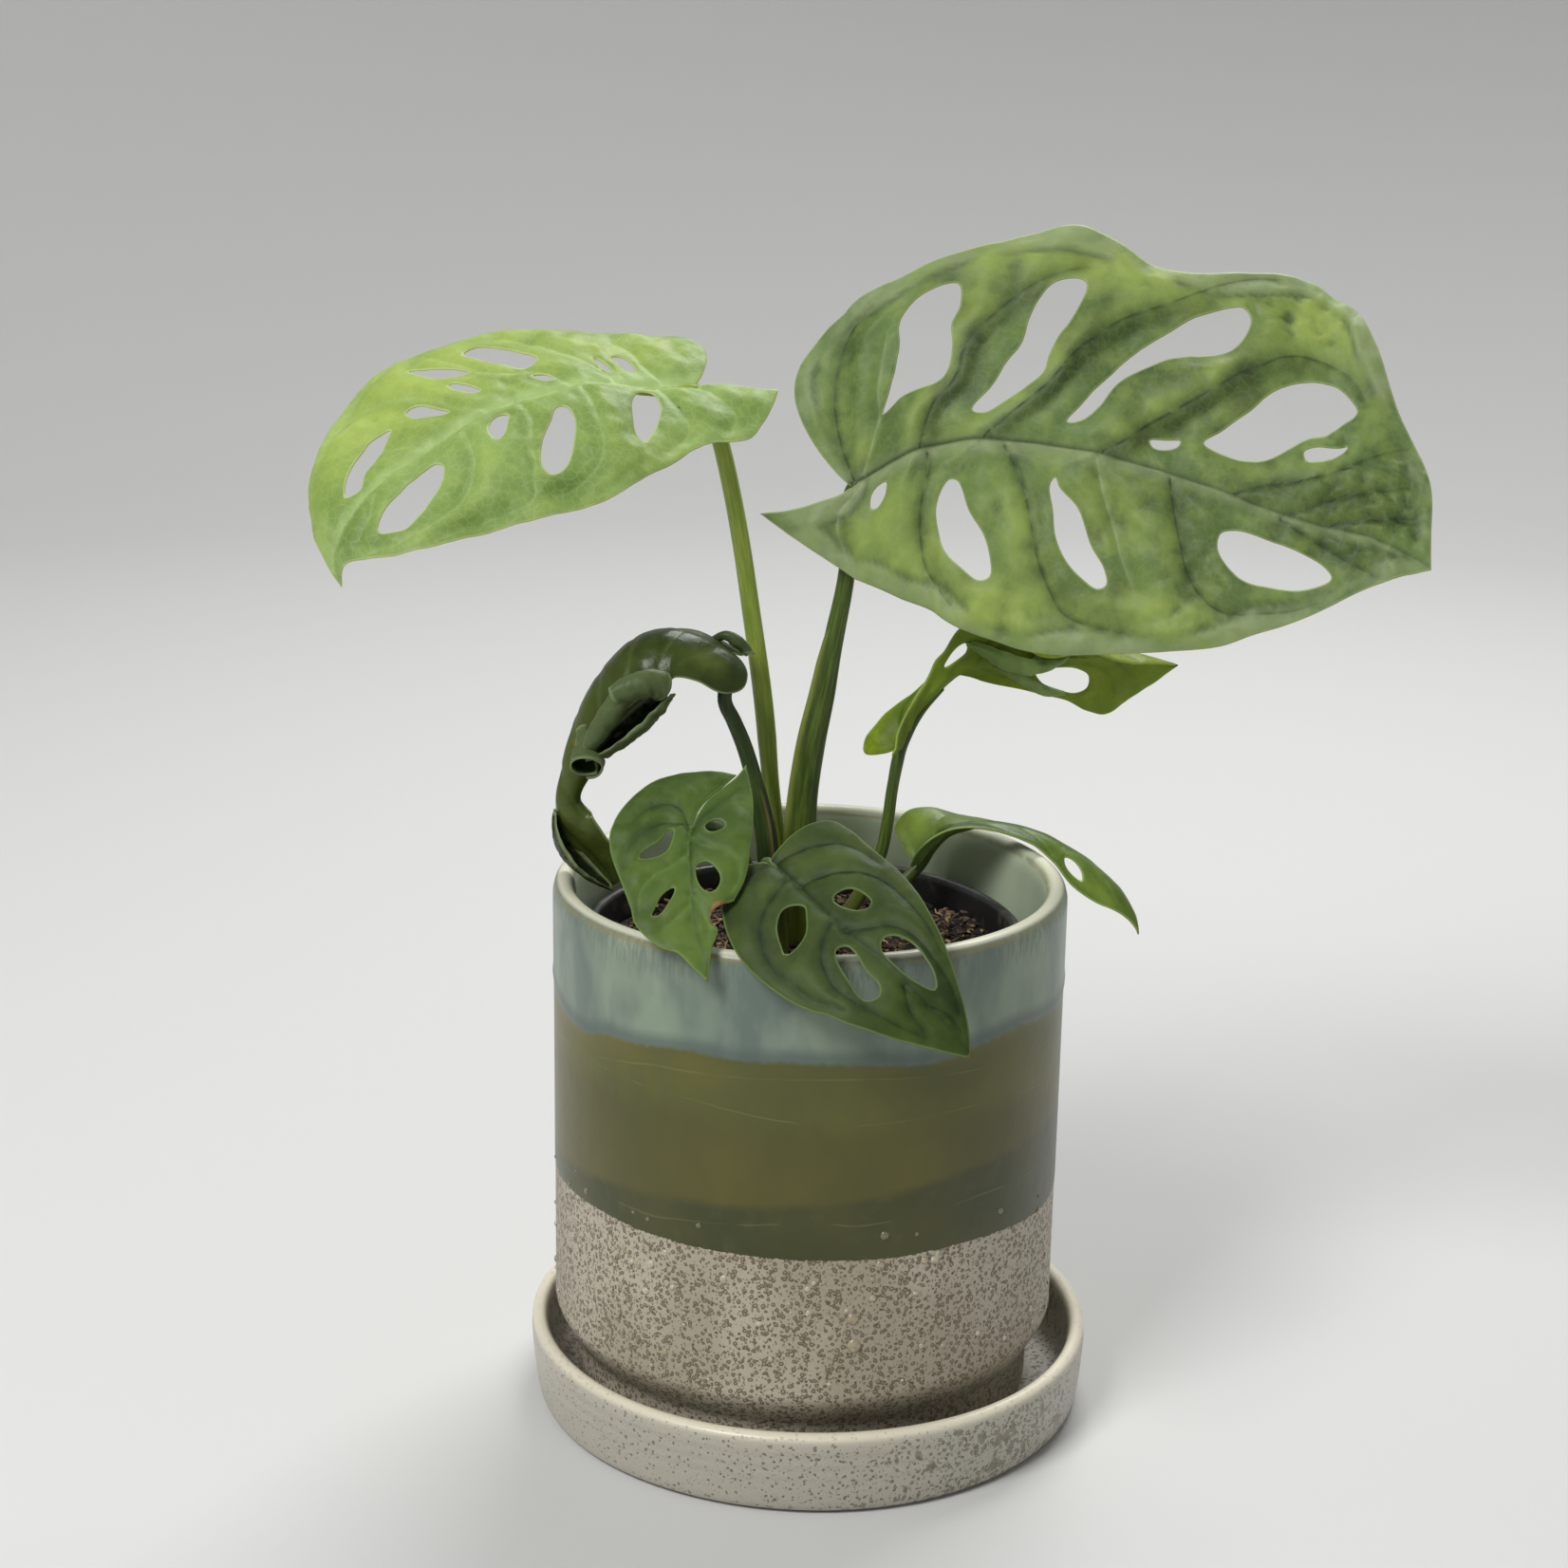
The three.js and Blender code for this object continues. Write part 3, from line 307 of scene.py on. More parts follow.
def hem(knots, degrees):
    """The height of a hem round the pot, eased between its given places."""
    at, height = np.array(knots, float).T
    fine = np.linspace(-180, 180, 721)
    level = np.interp(fine, at, height)
    for _ in range(6):
        level = (np.roll(level, 1) + 2 * level + np.roll(level, -1)) / 4
    return np.interp(degrees, fine, level)


def pot_worked(angles, radius, height):
    """The wall is a hair out of true, each glaze edge is a faint step, and the celadon hangs thick."""
    out = 0.12 * np.sin(2 * angles + 2.0) + 0.07 * np.sin(3 * angles + height * 0.03)
    rise = 0.12 * np.sin(2 * angles + 1.0) if height > 136 else 0.0
    if radius > pot_wall and height > 28:
        degrees = np.degrees((angles + math.pi) % (2 * math.pi) - math.pi)
        roll = height - hem(celadon_hem, degrees)
        out = out + 0.22 * fade(roll - 1.2, 1.5) + 0.1 / (1 + np.exp(-roll / 0.6))
        out = out - 0.16 / (1 + np.exp((height - hem(glaze_hem, degrees)) / 0.45))
    return out * min(radius / 50, 1), rise


points, faces = turned(pot_section, 320, pot_worked)
degrees = np.degrees(np.arctan2(points[:, 0], -points[:, 1]))
height = points[:, 2]
# How far each place lies above each hem. Inside, the pot is celadon all the way down.
inner = ((np.hypot(points[:, 0], points[:, 1]) < 62.3) & (height > 30)).astype(float)
glaze_layers = {
    "celadon": np.where(inner > 0, 40.0, height - hem(celadon_hem, degrees)),
    "olive": height - hem(olive_hem, degrees),
    "glazed": height - hem(glaze_hem, degrees),
    "pour": height - hem(second_pour, degrees),
    "inner": inner,
    "level": height,
    **{f"hair_{k}": height - hem(line, degrees) for k, line in enumerate(hair_lines)},
}

stoneware = Finish("poured_pot_glaze", Coat_Weight=0.12, Coat_Roughness=0.15, Specular_IOR_Level=0.34)
spot = stoneware.whole()
celadon_edge, olive_edge, glaze_edge, pour_edge, inside, level, *hairs = map(stoneware.worked, glaze_layers)

# Bare speckled clay.
ground = spot.cloud(42.0, 2.0).ease(0.42, 0.6).between((180, 172, 155), (163, 154, 136))
clay, speck, relief = speckled(spot, 0.9, ground, (108, 96, 72), (74, 64, 46))

# Olive: browner above, greener and darker where it was poured twice, with faint hair lines round it.
mottle = spot.cloud(26.0)
glow = spot.drawn_out(1, 1, 0.35).cloud(9.0).ease(0.35, 0.8)
wet = spot.cloud(4.0, 4.0, 0.6).ease(0.5, 0.8)
dark = mottle.ease(0.35, 0.7).between((59, 63, 31), (70, 70, 34)).coated((wet * 0.25, (88, 94, 62)))
shown = spot.cloud(16.0, 2.0).ease(0.42, 0.62)
first, second, third = (abs(hair).ease(0.34, 0.1) for hair in hairs)
line = first.most(second).most(third) * shown
olive = mottle.ease(0.3, 0.72).between((94, 91, 38), (78, 81, 38)).coated(
    (pour_edge.ease(3.0, -6.0) * 0.6, (76, 72, 31)),
    (glow * 0.14, (106, 101, 44)),
    ((olive_edge + spot.cloud(7.0) * 2.4 - 1.2).ease(1.6, -1.6), dark),
    (line * 0.22, (134, 130, 84)))

# Celadon: milky and blotched where it lies thick, slate blue where it thins at its hem and under the lip.
streak = spot.drawn_out(1, 1, 0.14).cloud(0.9, 3.0, 0.6)
pool = spot.drawn_out(1, 1, 0.6).cloud(24.0, swirl=0.4).ease(0.36, 0.64)
milk = spot.drawn_out(1, 1, 0.5).cloud(8.0).ease(0.46, 0.7)
slate = abs(celadon_edge - 1.0).ease(4.0, 0.2)
fringe = level.ease(128.5, 137.0) * streak.ease(0.4, 0.62) * (inside * -1.0 + 1.0)
# The inner wall is celadon as well, but painted much paler: painted light on a wall that lies in the pot's
# own shade.
celadon = pool.between((96, 111, 102), (128, 143, 124)).coated(
    (milk * 0.22, (160, 170, 148)), (slate * 0.75, (78, 92, 86)), (fringe * 0.65, (96, 108, 98)),
    (inside * 0.8, (186, 198, 170)))

# One glaze over the other and over the clay. On the lip they run thin: pale on its crown, brown below.
over = (celadon_edge + spot.cloud(2.6) * 1.8 - 0.9).ease(-0.7, 0.9)
bare = (glaze_edge + spot.cloud(1.5) * 1.4 - 0.7).ease(0.12, -0.12)
crown = level.ease(139.4, 140.4)
shoulder = level.ease(138.0, 138.9) * level.ease(139.9, 139.2) * spot.cloud(5.0).ease(0.25, 0.5)
colour = over.between(olive, celadon).coated(
    (bare, clay), (crown * 0.85, (218, 216, 192)), (shoulder * 0.6, (136, 124, 84)))
skin = line.raised(0.05, spot.cloud(6.0).raised(0.14, (relief * bare).raised(0.2)))
stoneware.finished(colour, bare * 0.19 + 0.36, skin)
piece("poured_glaze_pot", points, faces, "ceramic_pot", stoneware.material, glaze_layers)

# Glaze blisters: beads of glaze that bubbled up in the firing and froze on the pot's wall. The first are
# listed where they show at the front; the rest are scattered round the speckled band.
blisters = [
    (10.2, 48.8, 1.3), (24.2, 69.2, 0.5), (10.7, 41.7, 1.5), (16.8, 70, 1), (-31.7, 61.3, 0.8),
    (-40.9, 55.8, 0.8), (-38.9, 55.7, 0.8), (-35.4, 57.2, 0.9), (-17.6, 57.7, 0.9), (-36.7, 49.6, 0.9),
    (-31.6, 34.8, 0.9), (26.4, 61.8, 0.9), (28.8, 61.3, 1), (29.9, 62.5, 0.9), (16.1, 62.6, 1),
    (14.5, 58.8, 0.6), (14.6, 53.8, 0.7), (24.4, 53.5, 0.7),
]
rng = np.random.default_rng(5)
for _ in range(130):
    blisters.append((rng.uniform(-180, 180), 30 + 42 * rng.random() ** 1.2, rng.uniform(0.3, 0.75)))
bead_sides = 10
# The breadth of each ring of a bead and how far it stands off the wall, as shares of the bead's size.
bead_rings = ((1.0, -0.35), (1.0, 0.0), (0.8, 0.3), (0.45, 0.46))
points, faces = [], []
for degrees, height, reach in blisters:
    out = np.array((math.sin(math.radians(degrees)), -math.cos(math.radians(degrees)), 0))
    side = np.array((-out[1], out[0], 0))
    first = len(points)
    lean = rng.uniform(0.85, 1.2)
    reach *= 1.2
    for ring, lift in bead_rings:
        for k in range(bead_sides):
            turn = k * 2 * math.pi / bead_sides
            points.append(out * (pot_wall + lift * reach) + side * reach * ring * math.cos(turn)
                          + np.array((0, 0, height + reach * ring * lean * math.sin(turn))))
    points += [out * (pot_wall + lift * reach) + np.array((0, 0, height)) for lift in (0.52, -0.35)]
    loops = [[first + i * bead_sides + k for k in range(bead_sides)] for i in range(len(bead_rings))]
    after = [loop[1:] + loop[:1] for loop in loops]
    for low, low_next, high, high_next in zip(loops, after, loops[1:], after[1:]):
        faces += zip(low, low_next, high_next, high)
    top = len(points) - 2
    faces += [(a, b, top) for a, b in zip(loops[-1], after[-1])]
    faces += [(b, a, top + 1) for a, b in zip(loops[0], after[0])]
points = np.array(points)
bead = Finish("frozen_glaze_beads", Coat_Weight=0.6, Coat_Roughness=0.08)
spot = bead.whole()
mixed = spot.cloud(3.0).ease(0.4, 0.6).between((184, 176, 156), (152, 138, 110)).coated(
    (bead.worked("level").ease(61.0, 66.0), (104, 106, 70)))
bead.finished(mixed, 0.25, spot.cloud(0.8).raised(0.05))
piece("frozen_glaze_blisters", points, faces, "ceramic_pot", bead.material,
      {"level": points[:, 2]})


# Nursery pot. The thin black pot that the vine was grown in, moulded in polypropylene, with a turned-out
# rim. It hangs a little to the left of and in front of the pot's middle, and only its rim shows.
nursery_shift = np.array((-1.6, -2.4))
nursery_section = section([
    (0, 13.2, 9), (44, 13.2, 4), (51.7, 107, 5), (53.2, 123.7, 2), (55.2, 123.7, 0.6), (55.6, 124.2, 0.4),
    (55.6, 127.4, 0.7), (55, 128.2, 0.4), (53.4, 128.2, 0.5), (52.6, 127.6, 0.4), (52, 122, 1),
    (43.2, 14.2, 5), (0, 14.2, 9),
], 1)


def nursery_worked(angles, radius, height):
    """Thin plastic, pushed a little out of round by the root ball."""
    out = 0.35 * np.sin(2 * angles + 0.4) + 0.2 * np.sin(5 * angles)
    return out * (height > 90) * (radius > 40), 0.25 * np.sin(3 * angles) * (height > 110)


black_plastic = Finish("black_polypropylene")
spot = black_plastic.whole()
dust = spot.cloud(6.0, 4.0, 0.6).ease(0.5, 0.72)
shade = spot.cloud(12.0).between((20, 21, 22), (34, 35, 36)).coated((dust * 0.35, (92, 78, 62)))
black_plastic.finished(shade, dust * 0.3 + 0.34, spot.drawn_out(1, 1, 4).cloud(1.2, 2.0).raised(0.05))
points, faces = turned(nursery_section, 160, nursery_worked)
points[:, :2] += nursery_shift
piece("black_nursery_pot", points, faces, "nursery_pot", black_plastic.material)


# Potting mix. Coarse coir, chipped bark and a little pale wood, darkest between the pieces.
# It is poured into the nursery pot to a finger's width under the rim, and stays uneven.
soil_floor, soil_level, soil_reach = 14.3, 121.5, 51
pot_slope = 0.0872


def soil_height(x, y):
    """The mix lies uneven by a millimetre or two."""
    return soil_level + 1.1 * (math.sin(x * 0.31 + 1.2) * math.cos(y * 0.27)
                               + 0.6 * math.sin(x * 0.13 - y * 0.19 + 0.4))


soil_section = np.array([
    (0, soil_floor), (20, soil_floor), (42.4, soil_floor),
    *((42.7 + pot_slope * (h - soil_floor), h) for h in range(24, 115, 10)), (51.5, 119), (51.6, 120.6),
    *((r, soil_level) for r in np.arange(soil_reach, 0.5, -0.85)), (0, soil_level)])
points, faces = turned(soil_section, 220)
tone = np.zeros(len(points))
for i, (x, y, z) in enumerate(points):
    if z > soil_level - 0.5:
        crumb = noise.noise(Vector((x, y, 3)) * 0.45) * 1.1 + noise.noise(Vector((x, y, 9)) * 1.1) * 0.7
        points[i, 2] = soil_height(x, y) - 0.9 + crumb * min((52 - math.hypot(x, y)) / 4, 1)
        tone[i] = 0.1 + 0.1 * crumb
points = points.tolist()
tone = tone.tolist()
rng = np.random.default_rng(11)
stems = [
    (-2, 5, 5.5), (-8, 11.5, 3.5), (-10, 0.5, 4), (-13.5, -8, 3), (-7, -11, 3), (9.5, 11, 3), (17.5, 22, 3),
]


def clear_of_stems(x, y, reach):
    """Whether a crumb this large leaves the stalks free."""
    x, y = x + nursery_shift[0], y + nursery_shift[1]
    return all(math.hypot(x - stem_x, y - stem_y) > gap + reach for stem_x, stem_y, gap in stems)


for kind, count in (("bark", 1700), ("coir", 2600), ("fibre", 330)):
    for _ in range(count):
        far = (soil_reach - 1.5) * math.sqrt(rng.random())
        way = rng.random() * 2 * math.pi
        x, y = far * math.cos(way), far * math.sin(way)
        # Every kind's length is drawn, and this kind's is kept.
        long = {
            "bark": rng.uniform(1.2, 3.4), "coir": rng.uniform(0.6, 1.8), "fibre": rng.uniform(4, 9)}[kind]
        if not clear_of_stems(x, y, 0.4 * long) or far + long * 0.45 > soil_reach:
            continue
        wide = {"bark": rng.uniform(0.3, 0.6), "coir": rng.uniform(0.35, 0.8), "fibre": 0.04}[kind] * long
        thick = {"bark": rng.uniform(0.25, 0.5), "coir": rng.uniform(0.4, 0.8), "fibre": 0.9}[kind] * wide
        lie = Matrix.Rotation(rng.random() * 6.28, 3, "Z")
        lie = lie @ Matrix.Rotation(rng.normal(0, 0.3), 3, "Y")
        lie = lie @ Matrix.Rotation(rng.normal(0, 0.4), 3, "X")
        middle = Vector((x, y, soil_height(x, y) + rng.uniform(-0.9, 0.7)))
        first = len(points)
        cuts = 4 if kind == "fibre" else 2
        sag = rng.normal(0, 0.12, (cuts + 1, 2)) * long if kind == "fibre" else np.zeros((cuts + 1, 2))
        for cut in range(cuts + 1):
            along = (cut / cuts - 0.5) * long
            slim = 1.0 if kind == "fibre" else 0.55 + 0.5 * math.sin(math.pi * (0.15 + 0.7 * cut / cuts))
            for across, up in ((-1, -1), (1, -1), (1, 1), (-1, 1)):
                jog = (1, 1, 1) if kind == "fibre" else rng.uniform(0.75, 1.2, 3)
                corner = Vector((along * jog[0], across * wide / 2 * slim * jog[1] + sag[cut, 0],
                                 up * thick / 2 * slim * jog[2] + abs(sag[cut, 1]) * 0.4))
                points.append(tuple(middle + lie @ corner))
        chip = float(np.clip(rng.normal({"bark": 0.4, "coir": 0.5, "fibre": 0.75}[kind], 0.26), 0.05, 1))
        tone += [chip] * (4 * cuts + 4)
        faces.append((first, first + 3, first + 2, first + 1))
        for cut in range(cuts):
            for j in range(4):
                a, b = first + 4 * cut + j, first + 4 * cut + (j + 1) % 4
                faces.append((a, b, b + 4, a + 4))
        end = first + 4 * cuts
        faces.append((end, end + 1, end + 2, end + 3))
points = np.array(points)
points[:, :2] += nursery_shift

coir_mix = Finish("coarse_coir_and_bark")
spot, chip = coir_mix.whole(), coir_mix.worked("chip")
grain = spot.cloud(0.9, 3.0, 0.6)
bark = chip.ease(0.15, 0.55).between((24, 18, 13), (80, 60, 40)).coated(
    (chip.ease(0.55, 0.95), (164, 138, 98)), (grain.ease(0.5, 0.7) * 0.45, (42, 32, 22)))
coir_mix.finished(bark, 0.85, grain.raised(0.3))
mix = piece("coir_potting_mix", points, faces, "potting_mix", coir_mix.material, {"chip": tone})
mix.data.shade_flat()


# The large right leaf and its stalk. The vine's newest full blade: leathery, blistered between the veins,
# with long holes between them, held nearly upright to face the front. Its stout stalk comes up out of the
# soil with a sheath along its left side, and thickens where it turns in under the midrib.
def smooth(knots, values, s):
    """A value eased between knots: a cubic through the values with even slopes at the knots."""
    knots, values = np.asarray(knots, float), np.asarray(values, float)
    s = np.clip(s, knots[0], knots[-1])
    gap = np.diff(knots)
    step = (np.diff(values, axis=0).T / gap).T
    slope = np.empty_like(values)
    slope[0], slope[-1] = step[0], step[-1]
    slope[1:-1] = ((step[:-1].T * gap[1:] + step[1:].T * gap[:-1]) / (gap[1:] + gap[:-1])).T
    i = np.clip(np.searchsorted(knots, s, side="left") - 1, 0, len(knots) - 2)
    h = gap[i]
    t = (s - knots[i]) / h
    if values.ndim > 1:
        h, t = h[..., None], t[..., None]
    rise = t * t * (3 - 2 * t)
    return (values[i] * (1 - rise) + values[i + 1] * rise
            + (t ** 3 - 2 * t * t + t) * h * slope[i] + (t ** 3 - t * t) * h * slope[i + 1])


def unit(v):
    """The same direction at length 1."""
    return v / np.linalg.norm(v, axis=-1, keepdims=True)


class Lay:
    """How a flat blade lies in the air. x runs along the midrib and y across it, in millimetres on the
    flat. A station has, at a fraction of the midrib, the roll and for the left and right half the fold, the
    curl in degrees per 10 mm and, where the margin rolls up, where that starts and how tightly it goes."""

    def __init__(self, midrib, facing, straight, stations, around=None):
        self.points = np.array(midrib, float)
        self.knots = np.r_[0, np.cumsum(np.linalg.norm(np.diff(self.points, axis=0), axis=1))]
        self.length = self.knots[-1]
        self.facing = np.array(facing, float)
        self.around = around
        self.straight = straight
        unrolled = (99, 0, 99, 0)  # rolls that would start beyond any margin
        rows = np.array([row if len(row) > 6 else (*row, *unrolled) for row in stations], float)
        self.places = rows[:, 0] * self.length
        self.rows = rows[:, 1:]

    def at(self, x, y, lift=0.0):
        """Where places on the flat blade come to lie, raised off it by lift."""
        x, y, lift = np.broadcast_arrays(*(np.asarray(value, float) for value in (x, y, lift)))
        s = np.clip(x, 0, self.length)
        middle = smooth(self.knots, self.points, s)
        ahead = unit(smooth(self.knots, self.points, np.minimum(s + 1, self.length))
                     - smooth(self.knots, self.points, np.maximum(s - 1, 0)))
        chord = unit(self.points[-1] - self.points[0])
        ahead = unit(ahead * (1 - self.straight) + chord * self.straight)
        out = unit(middle - self.facing) if self.around else unit(self.facing) + 0 * middle
        normal = unit(out - ahead * (out * ahead).sum(-1, keepdims=True))
        side = np.cross(normal, ahead)
        (roll, left_fold, left_curl, right_fold, right_curl, left_start, left_hook, right_start,
         right_hook) = (smooth(self.places, column, s) for column in self.rows.T)
        turn = np.radians(roll)[..., None]
        cos, sin = np.cos(turn), np.sin(turn)
        normal, side = cos * normal + sin * side, cos * side - sin * normal
        left = y >= 0
        fold = np.radians(np.where(left, left_fold, right_fold))
        curl = np.radians(np.where(left, left_curl, right_curl)) / 10
        start = np.where(left, left_start, right_start)
        hook = np.radians(np.where(left, left_hook, right_hook)) / 10
        curl, hook = (np.where(np.abs(bend) < 1e-6, 1e-5, bend) for bend in (curl, hook))
        inner = np.minimum(np.abs(y), start)
        outer = np.maximum(np.abs(y) - start, 0)
        mid = fold + curl * inner
        edge = mid + hook * outer
        away = (np.sin(mid) - np.sin(fold)) / curl + (np.sin(edge) - np.sin(mid)) / hook
        down = (np.cos(fold) - np.cos(mid)) / curl + (np.cos(mid) - np.cos(edge)) / hook
        across = np.where(left, 1, -1) * (away + lift * np.sin(edge))
        above = lift * np.cos(edge) - down
        return middle + ahead * (x - s)[..., None] + side * across[..., None] + normal * above[..., None]


def spaced(points, closed, step):
    """Points a step apart along a smooth curve through given points."""
    p = np.array(points, float)
    p = np.vstack([p[-1], p, p[0], p[1]]) if closed else np.vstack([2 * p[0] - p[1], p, 2 * p[-1] - p[-2]])
    t = np.linspace(0, 1, 20, endpoint=False)[:, None]
    dense = []
    for a, b, c, d in zip(p, p[1:], p[2:], p[3:]):
        k = [max(math.sqrt(np.linalg.norm(v)), 1e-4) for v in (b - a, c - b, d - c)]
        start = ((b - a) / k[0] - (c - a) / (k[0] + k[1]) + (c - b) / k[1]) * k[1]
        end = ((c - b) / k[1] - (d - b) / (k[1] + k[2]) + (d - c) / k[2]) * k[1]
        rise = t * t * (3 - 2 * t)
        dense.append(b * (1 - rise) + c * rise + (t ** 3 - 2 * t * t + t) * start + (t ** 3 - t * t) * end)
    dense = np.vstack(dense + [p[-2:-1]])
    along = np.r_[0, np.cumsum(np.linalg.norm(np.diff(dense, axis=0), axis=1))]
    at = np.linspace(0, along[-1], max(round(along[-1] / step), 5 if closed else 1) + 1)
    made = np.column_stack([np.interp(at, along, dense[:, i]) for i in range(dense.shape[1])])
    return made[:-1] if closed else made


def within(loop, spots):
    """Which of the spots lie inside a closed loop."""
    hit = np.zeros(len(spots), bool)
    for (ax, ay), (bx, by) in zip(loop, np.roll(loop, -1, axis=0)):
        if ay != by:
            crossed = (ay > spots[:, 1]) != (by > spots[:, 1])
            hit ^= crossed & (spots[:, 0] < (bx - ax) * (spots[:, 1] - ay) / (by - ay) + ax)
    return hit


def nearest(marks, spots):
    """For each spot, how far the nearest mark is, and which it is."""
    tree = KDTree(len(marks))
    for i, mark in enumerate(marks):
        tree.insert((mark[0], mark[1], 0), i)
    tree.balance()
    found = [tree.find((x, y, 0)) for x, y in spots]
    return np.array([f[2] for f in found]), np.array([f[1] for f in found])


def flat_blade(outline, holes, veins, grid, squeeze):
    """A blade cut out on the flat: its points, triangles and cut edges, with rows of points beside each
    edge and along each vein so that relief there is crisp."""
    edge_gap, vein_gap = 0.55, 0.5
    stretch = np.array((1, squeeze))
    loops = [np.vstack([spaced(np.array(arc) * stretch, False, 0.9)[:-1] for arc in outline])]
    loops += [spaced(np.array(hole) * stretch, True, 0.8) for hole in holes]

    def on_blade(spots):
        good = within(loops[0], spots)
        for hole in loops[1:]:
            good &= ~within(hole, spots)
        return good

    def beside(line, run, gap):
        across = np.column_stack([-run[:, 1], run[:, 0]]) * gap
        return [line + across, line - across]

    rows, lines = [], []
    for loop in loops:
        rows += beside(loop, unit(np.roll(loop, -1, axis=0) - np.roll(loop, 1, axis=0)), edge_gap)
    for vein in veins:
        line = spaced(np.array(vein) * stretch, False, 0.85)
        lines += [line, *beside(line, unit(np.gradient(line, axis=0)), vein_gap)]

    # A net of even triangles in between, thinned where points would crowd.
    low, high = loops[0].min(0), loops[0].max(0)
    net = []
    for k, y in enumerate(np.arange(low[1], high[1], grid * 0.87)):
        x = np.arange(low[0] + (k % 2) * grid / 2, high[0], grid)
        net.append(np.column_stack([x + 0.06 * np.sin(7 * y), np.full(len(x), y)]))
    placed = np.vstack(loops)
    crowded = {}
    for i, (x, y) in enumerate(placed):
        crowded.setdefault((int(x // 1), int(y // 1)), []).append((x, y))
    kept = []
    for spots, gap in ((np.vstack(rows), 0.42), (np.vstack(lines), 0.36), (np.vstack(net), grid * 0.62)):
        for x, y in spots[on_blade(spots)]:
            cx, cy = int(x // 1), int(y // 1)
            near = (q for i in (-1, 0, 1) for j in (-1, 0, 1) for q in crowded.get((cx + i, cy + j), ()))
            if all((x - a) ** 2 + (y - b) ** 2 > gap * gap for a, b in near):
                crowded.setdefault((cx, cy), []).append((x, y))
                kept.append((x, y))

    # Joined into triangles, without those that fill a hole or lie outside.
    count = [len(loop) for loop in loops]
    first = np.r_[0, np.cumsum(count)]
    edges = [(f + i, f + (i + 1) % n) for f, n in zip(first, count) for i in range(n)]
    spots = [Vector(p) for p in np.vstack([placed, kept])]
    made, _, triangles, _, _, _ = delaunay_2d_cdt(spots, edges, [], 0, 1e-4)
    made = np.array([tuple(p) for p in made])
    triangles = np.array([f for f in triangles if len(f) == 3])
    triangles = triangles[on_blade(made[triangles].mean(1))]
    used = np.unique(triangles)
    renumbered = np.full(len(made), -1)
    renumbered[used] = np.arange(len(used))
    return made[used] / stretch, renumbered[triangles], [loop / stretch for loop in loops]


def patches(spots, marks):
    """How strongly listed patches (x, y, reach along, reach across, strength) show at each spot."""
    shown = np.zeros(len(spots))
    for x, y, rx, ry, amount in marks:
        shown = np.maximum(shown, amount * np.exp(
            -((spots[:, 0] - x) / rx) ** 2 - ((spots[:, 1] - y) / ry) ** 2))
    return shown


def leaf_skin(name, deep, fresh, sun, shade, vein, rim, below, shine=0.4, glow=0.12, net=0.1, mottle_and_painted_light=0.5):
    """Leaf tissue: mottled green, with painted light on the tops of the swellings between the veins and
    painted shade in the hollows between them, painted light and painted shade in the sunlit and shaded
    places, pale veins, dark veins that are lines of painted shade in their creases, a fine net of veinlets,
    pale cut edges, dry brown places and a duller underside."""
    skin = Finish(name, Subsurface_Weight=glow, Subsurface_Scale=0.001, Subsurface_Radius=(0.5, 1.0, 0.25),
                  Specular_IOR_Level=0.22)
    flat = skin.worked("flat", "Vector")
    swell, under = skin.worked("swell"), skin.worked("under")
    broken = flat.cloud(5.0, 3.0, 0.6)
    patchy = broken * 0.9 + 0.5
    blotch = flat.cloud(6.5, 3.0, 0.6).ease(0.42, 0.66)
    light = (skin.worked("sunlit") * 0.9 + 0.22 * mottle_and_painted_light) * (swell * mottle_and_painted_light + (1.0 - 0.5 * mottle_and_painted_light))
    veinlet = flat.cells(2.4, "DISTANCE_TO_EDGE").ease(0.1, 0.0)
    crisp = (broken * 0.5 + skin.worked("dry")).ease(0.62, 0.86)
    husk = broken.ease(0.35, 0.65).between((62, 42, 26), (150, 116, 76))
    # Painted light: sun colour on the swellings and in the sunlit places. Painted shade: shade colour in
    # the hollows, the shaded places and the creases.
    tissue = flat.cloud(17.0, 2.0).ease(0.36, 0.64).between(deep, fresh).coated(
        (blotch * (0.4 * mottle_and_painted_light), sun), (light * patchy, sun),
        (swell.ease(0.5, 0.0) * (0.6 * mottle_and_painted_light), shade), (skin.worked("shaded") * patchy, shade),
        (veinlet * net, vein), (skin.worked("band") * patchy, vein), (skin.worked("crease_shade"), shade),
        (skin.worked("vein"), vein), (skin.worked("edge").ease(0.55, 0.12) * 0.55, rim), (crisp, husk),
        (under * 0.5, below))
    gloss = broken * 0.2 + (shine - 0.1) + (under + crisp) * 0.15
    return skin.finished(tissue, gloss, flat.cloud(1.6, 2.0, 0.55).raised(0.1))


